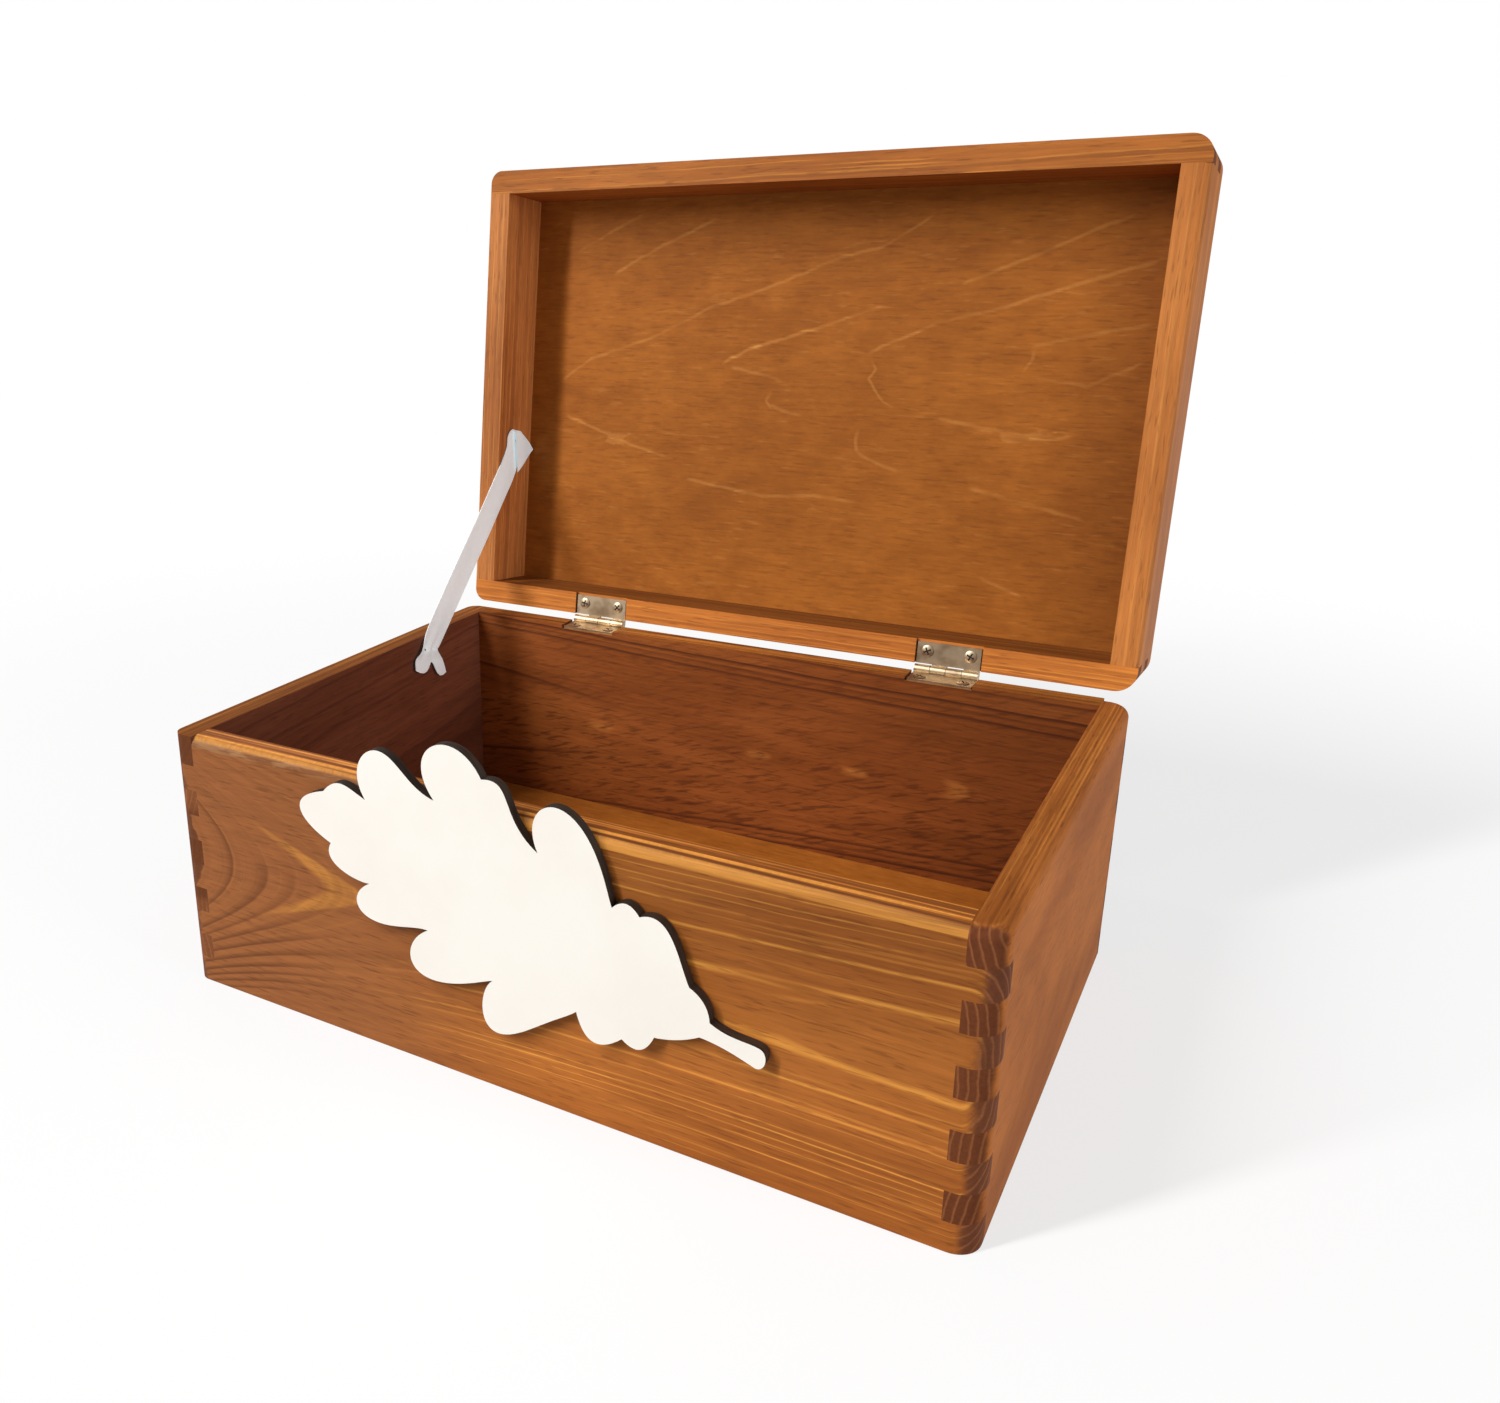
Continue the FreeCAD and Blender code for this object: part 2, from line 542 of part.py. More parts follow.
os.makedirs("parts", exist_ok=True)
for piece in pieces:
    piece.Shape.exportStep(f"parts/{piece.Label}.step")
    box = piece.Shape.BoundBox
    print(piece.Label, len(piece.Shape.Solids), round(piece.Shape.Volume, 1), [round(c, 2) for c in (
        box.XMin, box.XMax, box.YMin, box.YMax, box.ZMin, box.ZMax)])
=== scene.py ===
import math

import bpy
from mathutils import Matrix, Vector


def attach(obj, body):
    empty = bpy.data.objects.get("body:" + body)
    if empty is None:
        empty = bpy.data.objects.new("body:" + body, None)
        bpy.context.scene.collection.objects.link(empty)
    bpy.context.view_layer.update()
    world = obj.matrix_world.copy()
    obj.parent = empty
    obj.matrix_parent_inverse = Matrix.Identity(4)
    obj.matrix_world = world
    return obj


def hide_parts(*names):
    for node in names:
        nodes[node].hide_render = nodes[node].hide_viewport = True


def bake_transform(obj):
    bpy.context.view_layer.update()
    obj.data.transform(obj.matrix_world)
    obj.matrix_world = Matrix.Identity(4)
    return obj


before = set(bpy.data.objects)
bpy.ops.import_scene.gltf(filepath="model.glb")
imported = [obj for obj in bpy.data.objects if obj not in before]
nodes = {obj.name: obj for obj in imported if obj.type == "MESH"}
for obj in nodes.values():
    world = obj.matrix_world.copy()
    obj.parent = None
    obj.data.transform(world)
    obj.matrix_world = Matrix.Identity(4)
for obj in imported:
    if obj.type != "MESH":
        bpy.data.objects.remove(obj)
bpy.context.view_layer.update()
mm = 0.001
print("frame loaded:", len(nodes), "nodes")

# the open lid, as the hinge holds it: degrees and millimetres
lidSwing = {"open": 97.3, "pinY": 202.2, "pinZ": 103.25}


def paint(red, green, blue):
    # a colour as it is seen on a screen, 0 to 255, for a shader
    def line(c):
        c = c / 255
        return c / 12.92 if c <= 0.04045 else ((c + 0.055) / 1.055) ** 2.4
    return (line(red), line(green), line(blue), 1.0)


# shader values that can be added, multiplied and compared
class Signal:
    def __init__(self, tree, socket):
        self.tree = tree
        self.socket = socket

    def node(self, kind, settings=None, values=None, out=0):
        made = self.tree.nodes.new(kind)
        for key, value in (settings or {}).items():
            setattr(made, key, value)
        for key, value in (values or {}).items():
            if isinstance(value, Signal):
                self.tree.links.new(value.socket, made.inputs[key])
            else:
                made.inputs[key].default_value = value
        return Signal(self.tree, made.outputs[out] if made.outputs else None)

    def other(self, out):
        return Signal(self.tree, self.socket.node.outputs[out])

    def maths(self, operation, first, second=0.0):
        return self.node("ShaderNodeMath", {"operation": operation}, {0: first, 1: second})

    def __add__(self, other):
        return self.maths("ADD", self, other)

    def __radd__(self, other):
        return self.maths("ADD", other, self)

    def __sub__(self, other):
        return self.maths("SUBTRACT", self, other)

    def __rsub__(self, other):
        return self.maths("SUBTRACT", other, self)

    def __mul__(self, other):
        return self.maths("MULTIPLY", self, other)

    def __rmul__(self, other):
        return self.maths("MULTIPLY", other, self)

    def __truediv__(self, other):
        return self.maths("DIVIDE", self, other)

    def __pow__(self, other):
        return self.maths("POWER", self, other)

    def __abs__(self):
        return self.maths("ABSOLUTE", self)

    def part(self):
        return self.maths("FRACT", self)

    def whole(self):
        return self.maths("FLOOR", self)

    def most(self, other):
        return self.maths("MINIMUM", self, other)

    def least(self, other):
        return self.maths("MAXIMUM", self, other)

    def rise(self, low, high):
        # 0 below low, 1 above high, smooth between
        return self.node("ShaderNodeMapRange", {"interpolation_type": "SMOOTHSTEP"},
                         {"Value": self, "From Min": low, "From Max": high})

    def fall(self, low, high):
        # 1 below low, 0 above high
        return 1.0 - self.rise(low, high)

    def between(self, low, start, end, high):
        # 1 from start to end, 0 below low and above high
        return self.rise(low, start) * self.fall(end, high)

    def lifted(self, floor):
        # a share from 0 to 1 that now begins at the floor
        return floor + (1.0 - floor) * self

    def noise(self, stretch, seed=0.0, detail=2.0, rough=0.5):
        # cloudy noise on a place in millimetres; stretch is how often it changes in a millimetre
        place = self.node("ShaderNodeMapping", {"vector_type": "POINT"},
                          {"Vector": self, "Scale": stretch, "Location": (seed, seed * 0.7, seed * 1.3)})
        return self.node("ShaderNodeTexNoise", {"noise_dimensions": "3D"},
                         {"Vector": place, "Scale": 1.0, "Detail": detail, "Roughness": rough})

    def band(self, seed):
        # one number in, one random number out
        return self.node("ShaderNodeTexNoise", {"noise_dimensions": "1D"},
                         {"W": self + seed, "Scale": 1.0, "Detail": 0.0})

    def ramp(self, stops):
        # a grey level through stops, each a place and a level
        low, span = stops[0][0], stops[-1][0] - stops[0][0]
        made = self.node("ShaderNodeValToRGB", None, {0: (self - low) / span})
        points = made.socket.node.color_ramp.elements
        for place, level in stops[1:-1]:
            points.new((place - low) / span).color = (level, level, level, 1.0)
        for end, (place, level) in ((0, stops[0]), (-1, stops[-1])):
            points[end].color = (level, level, level, 1.0)
        return made

    def turned(self, angles, shift=(0, 0, 0)):
        return self.node("ShaderNodeMapping", {"vector_type": "POINT"},
                         {"Vector": self, "Rotation": angles, "Location": shift})

    def blend(self, first, second):
        # first colour where this is 0, second where it is 1; 6, 7 and 2 are the node's colour sockets
        return self.node("ShaderNodeMix", {"data_type": "RGBA"}, {0: self, 6: first, 7: second}, 2)

    def shade(self, colour):
        # a colour made lighter or darker by this
        return self.node("ShaderNodeVectorMath", {"operation": "SCALE"}, {0: colour, "Scale": self})

    def tinted(self, tone):
        return self.node("ShaderNodeVectorMath", {"operation": "MULTIPLY"}, {0: self, 1: tone})

    def bump(self, strength, height):
        return self.node("ShaderNodeBump", None, {"Strength": strength, "Distance": height, "Height": self})


def newMaterial(name, swung=False):
    # an empty material, the place on the piece in millimetres and its normal; swung turns both to the shut lid
    material = bpy.data.materials.new(name)
    material.use_nodes = True
    tree = material.node_tree
    tree.nodes.clear()
    place = Signal(tree, None).node("ShaderNodeTexCoord", None, None, "Object")
    facing = place.other("Normal")
    place = place.node("ShaderNodeVectorMath", {"operation": "SCALE"}, {0: place, "Scale": 1 / mm})
    if swung:
        angle = math.radians(lidSwing["open"])
        pin = Vector((0, lidSwing["pinY"], lidSwing["pinZ"]))
        place = place.turned((angle, 0, 0), pin - Matrix.Rotation(angle, 4, "X") @ pin)
        facing = facing.turned((angle, 0, 0))
    return material, place, facing


def closeMaterial(place, values):
    shader = place.node("ShaderNodeBsdfPrincipled", None, values)
    place.node("ShaderNodeOutputMaterial", None, {"Surface": shader})


def split(vector):
    x = vector.node("ShaderNodeSeparateXYZ", None, {0: vector})
    return x, x.other(1), x.other(2)


def dress(name, material):
    mesh = nodes[name].data
    mesh.materials.clear()
    mesh.materials.append(material)


# stained pine, shared by all boards; bump is its strength and its height in metres, teeth a saw's base and gain
pine = {
    "brown": paint(148, 83, 32), "tan": paint(175, 104, 44), "rosy": paint(150, 93, 54),
    "gold": paint(232, 157, 68), "dark": paint(84, 42, 20), "pore": paint(100, 52, 22),
    "end": paint(96, 52, 34), "endRing": paint(156, 98, 62), "rubAndSheen": paint(244, 168, 74),
    "chip": paint(200, 148, 100), "rough": 0.58, "roughSway": 0.2, "roughEnd": 0.2, "gloss": 0.14,
    "bump": (0.3, 0.00015), "teeth": (0.3, 0.8), "flowDepth": 0.3,
}
# its noise: changes in a millimetre along the grain and across it, seed, detail and roughness
pineNoise = {
    "wobble": (0.014, 0.05, 0.0, 2.0, 0.5), "crimp": (0.06, 0.16, 3.0, 2.0, 0.5),
    "runs": (0.012, 0.25, 9.0, 2.0, 0.5), "fibre": (0.05, 0.9, 11.0, 3.0, 0.7),
    "pores": (0.11, 1.3, 21.0, 1.0, 0.5), "cloud": (0.008, 0.035, 17.0, 2.0, 0.5),
    "fray": (0.16, 0.16, 33.0, 2.0, 0.5), "chips": (0.05, 0.3, 27.0, 3.0, 0.7),
    "sawn": (0.004, 0.75, 37.0, 1.0, 0.5), "teeth": (0.9, 0.5, 39.0, 1.0, 0.5),
}
# noise that follows the rings: changes along, across and into the board
flowNoise = {"hair": ((0.014, 1.9, 0.1), 7.0, 1.0, 0.5), "streak": ((0.008, 0.45, 0.1), 23.0, 4.0, 0.65)}
# where a noise begins to show and where it shows in full
pineWindow = {
    "runs": (0.28, 0.56), "hair": (0.6, 0.72), "pores": (0.58, 0.72), "cloud": (0.3, 0.7), "chips": (0.4, 0.52),
    "flame": (0.35, 0.6), "rubAndSheen": (0.3, 0.55), "sawnDark": (0.5, 0.58), "sawnPale": (0.38, 0.46),
}
# the same for how far a face looks up, to the board's end or into the box
pineFacing = {
    "rounded": (0.02, 0.12, 0.6, 0.86), "flat": (0.93, 0.99), "cut": (0.5, 0.75), "end": (0.2, 0.62),
    "inward": (0.7, 0.9),
}
# the largest share of a colour, and the smallest share of one that thins out
pineMost = {"rosy": 0.7, "pore": 0.4, "chip": 0.55, "roundShade": 0.28, "endRing": 0.55, "endDark": 0.85, "end": 0.88}
pineLeast = {"gold": 0.1, "hair": 0.2, "dark": 0.15, "flame": 0.6, "rubAndSheen": 0.4}
pineShade = {"base": 0.4, "fibre": 0.7, "streak": 0.5}
pineRelief = {"fibre": 0.6, "gold": 0.4, "pores": 0.5}
# year rings: how they sway, how their strength changes, and where in a ring its lines lie
yearRing = {
    "sway": 1.3, "swayOften": 0.09, "strengthOften": 3.7, "strengthSeed": 5.0, "sharp": 0.4, "sides": (-1.0, 1.0),
    "late": (0.28, 0.46, 0.48, 0.58), "lateShows": (0.3, 0.62),
    "edge": (0.2, 0.8, 0.82, 0.98), "edgeShows": (0.3, 0.7),
}
flame = {"round": 9.0, "root": (-2.0, 4.0), "tip": (-3.0, 1.0)}
endGrain = {"fray": 0.4, "ring": 2.6, "ringFray": 0.5, "rings": (0.6, 0.84, 0.86, 1.0)}


def peaks(lines):
    # narrow lines: place, half width and strength
    return [stop for at, half, level in lines for stop in ((at - half, 0.0), (at, level), (at + half, 0.0))]


def saws(lines):
    # dark edges of year rings, slow on the inside and sharp on the outside: place, width inside and strength
    sharp = yearRing["sharp"]
    return [stop for at, wide, level in lines for stop in ((at - wide, 0.0), (at, level), (at + sharp, 0.0))]


# each board: its grain direction, where the heart of the tree lay (mm) and how strong the rings show
# flames: tip and root along the board, slopes outside and inside, heights where it thins out, strength
boards = {
    "front_board": {
        "along": "x", "seed": 1.0, "centre": 58.0, "tilt": 0.016, "heart": 576.0, "swell": 2160.0, "from": -140.0,
        "slow": 60.0, "fall": 1.8, "fallFrom": 50.0, "side": 1.0, "wobble": 0.5, "crimp": 0.3,
        "goldAbove": peaks((
            (52.4, 0.35, 0.9), (56.0, 0.3, 0.8), (59.2, 0.25, 0.8), (61.0, 0.15, 0.5), (62.2, 0.2, 0.6),
            (64.0, 0.2, 0.7))),
        "goldBelow": peaks((
            (51.9, 0.35, 0.9), (54.8, 0.3, 0.8), (58.5, 0.3, 0.7), (60.0, 0.15, 0.5), (63.4, 0.2, 0.6),
            (64.6, 0.25, 0.9), (66.2, 0.2, 0.6), (67.8, 0.2, 0.5), (70.5, 0.25, 0.5))),
        "darkAt": saws((
            (32.5, 1.5, 0.7), (38.4, 1.8, 0.75), (41.5, 1.4, 0.6), (44.8, 1.5, 0.75), (48.3, 1.6, 0.85),
            (51.8, 1.6, 0.85), (55.0, 1.5, 0.85), (57.5, 1.2, 0.8), (60.0, 1.2, 0.8), (62.5, 1.2, 0.7))),
        "flames": ((-51.5, -74.0, 3.1, 2.1, 9.0, 24.0, 0.45),),
        "corner": {
            "edge": -141.0, "bow": 0.018, "fray": 5.0, "soft": (-0.5, 0.7), "dark": 0.9,
            "strip": 145.0, "stripFray": 6.0, "stripSoft": (-0.6, 1.4), "stripShare": 0.8,
            "calm": 0.8, "calmFrom": (34.0, 37.0), "calmAbove": (-4.0, 8.0)},
        "rim": {"rubAndSheen": 0.62, "chipsTo": (-100.0, -40.0)}, "lean": (0.2, 30.0), "bare": (-70.0, 10.0),
        "stained": (-122.0, -62.0), "gold": 0.92, "dark": 0.85, "rimLight": 1.5, "hair": 0.22, "sawn": 0.62},
    "back_board": {
        "along": "x", "seed": 7.0, "centre": 57.0, "tilt": 0.01, "heart": 360.0, "swell": 1500.0, "from": -150.0,
        "slow": 260.0, "fall": 0.0, "fallFrom": 200.0, "side": -1.0, "face": 190.0, "wobble": 1.6, "crimp": 0.5,
        "ring": 2.4, "outer": 46.0, "tight": 0.004,
        "flames": (
            (-58.0, -74.0, 2.6, 2.0, 0.5, 4.0, 0.3), (21.0, 6.0, 3.0, 2.0, 0.5, 3.0, 0.55),
            (64.0, 50.0, 3.0, 2.0, 0.5, 2.6, 0.6), (103.0, 92.0, 2.0, 1.6, 1.5, 6.0, 0.35)),
        "strokes": {
            "share": 0.6, "slant": 16.0, "stretch": (0.09, 0.6, 0.65), "seed": 29.0, "detail": 3.0,
            "window": (0.5, 0.68), "thin": 0.5, "thinAbove": (-6.0, 14.0)},
        "plainHeart": (6.0, 22.0), "gold": 0.0, "dark": 0.85, "hair": 0.0, "inward": -1.0, "inner": 0.76,
        "dim": (20.0, 130.0, 0.32), "innerTone": (1.1, 0.97, 1.12)},
    "left_board": {
        "along": "y", "seed": 13.0, "centre": 30.0, "tilt": 0.02, "heart": 1600.0, "swell": 800.0, "from": 0.0,
        "slow": 200.0, "fall": 0.0, "fallFrom": 300.0, "side": 1.0, "wobble": 2.5, "crimp": 0.6,
        "ring": 4.5, "outer": 70.0, "tight": 0.004, "hair": 0.05, "endBase": paint(128, 76, 46),
        "endDark": {"at": 54.0, "reach": (16.0, 25.0), "fray": 10.0, "top": (88.0, 92.0)},
        "gold": 0.0, "dark": 0.4, "rimLight": 0.8, "inner": 0.5, "innerTone": (1.0, 1.0, 2.7)},
    "right_board": {
        "along": "y", "seed": 19.0, "centre": 46.0, "tilt": 0.03, "heart": 900.0, "swell": 1200.0, "from": 0.0,
        "slow": 200.0, "fall": 0.0, "fallFrom": 300.0, "side": 1.0, "wobble": 3.0, "crimp": 0.4,
        "ring": 5.0, "outer": 260.0, "tight": 0.0, "hair": 0.03,
        "gold": 0.0, "dark": 0.12, "light": 1.14, "rimLight": 0.95, "gloss": 0.04, "tone": (1.0, 1.0, 1.16)},
}
rails = {
    "lid_front_rail": {"along": "x", "seed": 23.0, "centre": 160.0, "light": 1.06, "dark": 0.3, "gold": 0.3},
    "lid_back_rail": {
        "along": "x", "seed": 29.0, "centre": 20.0, "light": 1.5, "dark": 0.3, "gold": 0.3,
        "inward": -1.0, "inner": 0.4},
    "lid_left_rail": {
        "along": "y", "seed": 31.0, "centre": 165.0, "light": 1.25, "dark": 0.3, "gold": 0.2,
        "tone": (1.0, 1.1, 1.6), "inner": 1.15},
    "lid_right_rail": {
        "along": "y", "seed": 37.0, "centre": 15.0, "light": 1.32, "dark": 0.1, "gold": 0.15, "hair": 0.12,
        "tone": (1.0, 1.08, 1.36)},
}
railGrain = {
    "tilt": 0.01, "heart": 2500.0, "swell": 400.0, "from": -150.0, "slow": 300.0, "fall": 0.0, "fallFrom": 300.0,
    "side": 1.0, "wobble": 1.6, "crimp": 0.6, "ring": 3.2, "outer": 200.0, "tight": 0.0,
}
# what a board has when it doesn't say otherwise
plainBoard = {
    "bare": (-400.0, -300.0), "stained": (400.0, 500.0), "flames": (), "corner": None, "strokes": None,
    "plainHeart": None, "endDark": None, "rim": None, "lean": None, "dim": None, "face": 0.0,
    "inward": 1.0, "inner": 1.0, "innerTone": (1.0, 1.0, 1.0), "hair": 0.3, "sawn": 0.3, "endBase": pine["end"],
    "light": 1.0, "rimLight": 1.0, "endLight": 1.0, "tone": (1.0, 1.0, 1.0), "gloss": pine["gloss"],
}


def ringGrowth(board, along, deep, z, grain):
    # rings lie about the heart of the tree, which comes nearer to the face along the board
    nearing = 1.0 - along.maths("EXPONENT", (board["from"] - along) / board["slow"])
    sinking = board["fall"] * (along - board["fallFrom"]).least(0.0)
    depth = board["heart"] + board["swell"] * nearing - sinking
    height = z - (board["centre"] + board["tilt"] * along)
    reach = depth.least(1.0) ** 0.5 + board["side"] * (deep - board["face"])
    growth = (height * height + reach * reach) ** 0.5
    growth = growth + board["wobble"] * (grain("wobble") - 0.5)
    return height, growth + board["crimp"] * (grain("crimp") - 0.5)


def ringLines(growth, height, board):
    # golden and dark lines of the year rings, at named places or ring after ring
    if "darkAt" in board:
        above = height.rise(*yearRing["sides"])
        gold = above * growth.ramp(board["goldAbove"]) + (1.0 - above) * growth.ramp(board["goldBelow"])
        return gold, growth.ramp(board["darkAt"])
    outer = (growth - board["outer"]).least(0.0)
    ring = growth / board["ring"] + board["tight"] * outer * outer
    ring = ring + yearRing["sway"] * ((growth * yearRing["swayOften"]).band(board["seed"]) - 0.5)
    phase = ring.part()
    strength = (ring.whole() * yearRing["strengthOften"]).band(board["seed"] + yearRing["strengthSeed"])
    late = phase.between(*yearRing["late"])
    edge = phase.between(*yearRing["edge"])
    return late * strength.rise(*yearRing["lateShows"]), edge * strength.rise(*yearRing["edgeShows"])


def barkAndShadeAt(corner, along, height, fray):
    # dark inside the first ring of a swirled end, and painted shade in a strip along its rounded corner
    first = corner["edge"] - corner["bow"] * height * height + corner["fray"] * fray - along
    strip = corner["stripFray"] * fray - along - corner["strip"]
    return first.rise(*corner["soft"]).least(corner["stripShare"] * strip.rise(*corner["stripSoft"]))


def pineMaterial(name, board, swung):
    material, place, facing = newMaterial(name, swung)
    x, y, z = split(place)
    faceX, faceY, up = split(facing)
    lengthwise = board["along"] == "x"
    along, deep, endFacing, sideFacing = (x, y, faceX, faceY) if lengthwise else (y, x, faceY, faceX)
    seed = board["seed"]

    def grain(kind):
        slow, fast, shift, detail, rough = pineNoise[kind]
        stretch = (slow, fast, fast) if lengthwise else (fast, slow, fast)
        return place.noise(stretch, seed + shift, detail, rough)

    def ringGrain(kind):
        stretch, shift, detail, rough = flowNoise[kind]
        return flow.noise(stretch, seed + shift, detail, rough)

    height, growth = ringGrowth(board, along, deep, z, grain)
    gold, dark = ringLines(growth, height, board)
    if board["plainHeart"]:
        dark = dark * abs(height).rise(*board["plainHeart"])
    runs = grain("runs").rise(*pineWindow["runs"])
    clear = along.rise(*board["bare"])
    stained = along.fall(*board["stained"])
    # thin pale lines and soft streaks follow the rings, fibres and pores follow the board
    flow = place.node("ShaderNodeCombineXYZ", None, {0: along, 1: growth, 2: pine["flowDepth"] * deep})
    hair = ringGrain("hair").rise(*pineWindow["hair"]) * clear.lifted(pineLeast["hair"])
    streak = ringGrain("streak")
    fibre = grain("fibre")
    pores = grain("pores").rise(*pineWindow["pores"])
    fray = grain("fray") - 0.5
    colour = grain("cloud").rise(*pineWindow["cloud"]).blend(pine["brown"], pine["tan"])
    if board["corner"]:
        # the swirled end is redder, dark inside its first ring, and painted shade along its rounded corner
        corner = board["corner"]
        colour = (pineMost["rosy"] * (1.0 - clear)).blend(colour, pine["rosy"])
        calm = corner["calm"] * growth.rise(*corner["calmFrom"]) * height.rise(*corner["calmAbove"])
        dark = dark.least(corner["dark"] * barkAndShadeAt(corner, along, height, fray)) * (1.0 - calm)
    colour = (gold * runs * clear.lifted(pineLeast["gold"]) * board["gold"]).blend(colour, pine["gold"])
    for tip, root, outSlope, inSlope, low, high, strong in board["flames"]:
        # a golden tongue where a ring just comes to the face
        bow = (height * height + flame["round"]) ** 0.5
        tongue = (along + inSlope * bow - root).rise(*flame["root"])
        tongue = tongue * (along + outSlope * bow - tip).fall(*flame["tip"]) * abs(height).fall(low, high)
        tongue = tongue * streak.rise(*pineWindow["flame"]).lifted(pineLeast["flame"])
        colour = (strong * tongue).blend(colour, pine["gold"])
    colour = (board["hair"] * hair).blend(colour, pine["gold"])
    colour = (dark * stained.lifted(pineLeast["dark"]) * board["dark"]).blend(colour, pine["dark"])
    if board["strokes"]:
        # short dark strokes that rise to the right
        stroke = board["strokes"]
        slanted = place.turned((0, math.radians(stroke["slant"]), 0))
        strokes = slanted.noise(stroke["stretch"], seed + stroke["seed"], stroke["detail"])
        strokes = strokes.rise(*stroke["window"]) * (1.0 - stroke["thin"] * height.rise(*stroke["thinAbove"]))
        colour = (stroke["share"] * strokes).blend(colour, pine["dark"])
    colour = (pineMost["pore"] * pores).blend(colour, pine["pore"])
    if board["rim"]:
        # the rounded rim is rubbed to a lighter gold and carries a painted golden highlight; it is chipped at one
        # end and darkened there with painted shade
        rounded = up.between(*pineFacing["rounded"])
        rubAndSheen = rounded * board["rim"]["rubAndSheen"] * clear * streak.rise(*pineWindow["rubAndSheen"]).lifted(pineLeast["rubAndSheen"])
        colour = rubAndSheen.blend(colour, pine["rubAndSheen"])
        chips = grain("chips").rise(*pineWindow["chips"]) * along.fall(*board["rim"]["chipsTo"])
        colour = (pineMost["chip"] * rounded * chips).blend(colour, pine["chip"])
        colour = (1.0 - pineMost["roundShade"] * rounded * (1.0 - clear)).shade(colour)
    # a sawn rim shows each ring as a fine line
    sawn = grain("sawn")
    cut = up.rise(*pineFacing["cut"])
    base, gain = pine["teeth"]
    colour = (cut * sawn.rise(*pineWindow["sawnDark"]) * board["sawn"]).blend(colour, pine["dark"])
    pale = cut * sawn.fall(*pineWindow["sawnPale"]) * (base + gain * grain("teeth"))
    colour = (pale * board["sawn"]).blend(colour, pine["rubAndSheen"])
    if board["lean"]:
        # the clear part is darker above its middle and lighter below
        share, over = board["lean"]
        colour = (1.0 - share * clear * (height / over).least(-1.0).most(1.0)).shade(colour)
    colour = colour.tinted(board["tone"])
    # end grain drinks more stain and keeps only pale rings
    endMask = (abs(endFacing) + endGrain["fray"] * fray).rise(*pineFacing["end"])
    rings = (growth / endGrain["ring"] + endGrain["ringFray"] * fray).part().between(*endGrain["rings"])
    endColour = (pineMost["endRing"] * rings).blend(board["endBase"], pine["endRing"])
    if board["endDark"]:
        # the end grain is darker about one height, and again near the top
        endDark = board["endDark"]
        endDarkening = abs(z + endDark["fray"] * fray - endDark["at"]).fall(*endDark["reach"]).least(z.rise(*endDark["top"]))
        endColour = (pineMost["endDark"] * endDarkening).blend(endColour, pine["dark"])
    colour = (pineMost["end"] * endMask).blend(colour, endColour)
    # painted light and shade: each board is made lighter or darker as a whole, its flat rim by its own amount and
    # its end grain by another
    light = board["light"] + (board["rimLight"] - board["light"]) * up.rise(*pineFacing["flat"])
    light = light + (board["endLight"] - light) * endMask
    # painted shade and light: faces that look into the box or the lid are made darker or lighter, and tinted
    inward = (board["inward"] * sideFacing).rise(*pineFacing["inward"])
    light = light * (1.0 + (board["inner"] - 1.0) * inward)
    # darker towards its far end, in part painted shade from the right board beside it
    if board["dim"]:
        low, high, share = board["dim"]
        light = light * (1.0 - share * along.rise(low, high))
    colour = inward.blend(colour, colour.tinted(board["innerTone"]))
    shade = pineShade["base"] + pineShade["fibre"] * fibre + pineShade["streak"] * streak
    relief = pineRelief["fibre"] * fibre + pineRelief["gold"] * gold - pineRelief["pores"] * pores
    closeMaterial(place, {
        "Base Color": (light * shade).shade(colour),
        "Roughness": pine["rough"] + pine["roughSway"] * (fibre - 0.5) + pine["roughEnd"] * endMask,
        "Specular IOR Level": board["gloss"], "Normal": relief.bump(*pine["bump"])})
    return material


for name, board in boards.items():
    dress(name, pineMaterial("stainedPine_" + name, {**plainBoard, **board}, False))
for name, rail in rails.items():
    dress(name, pineMaterial("stainedPine_" + name, {**plainBoard, **railGrain, **rail}, True))
print("boards and rails stained")


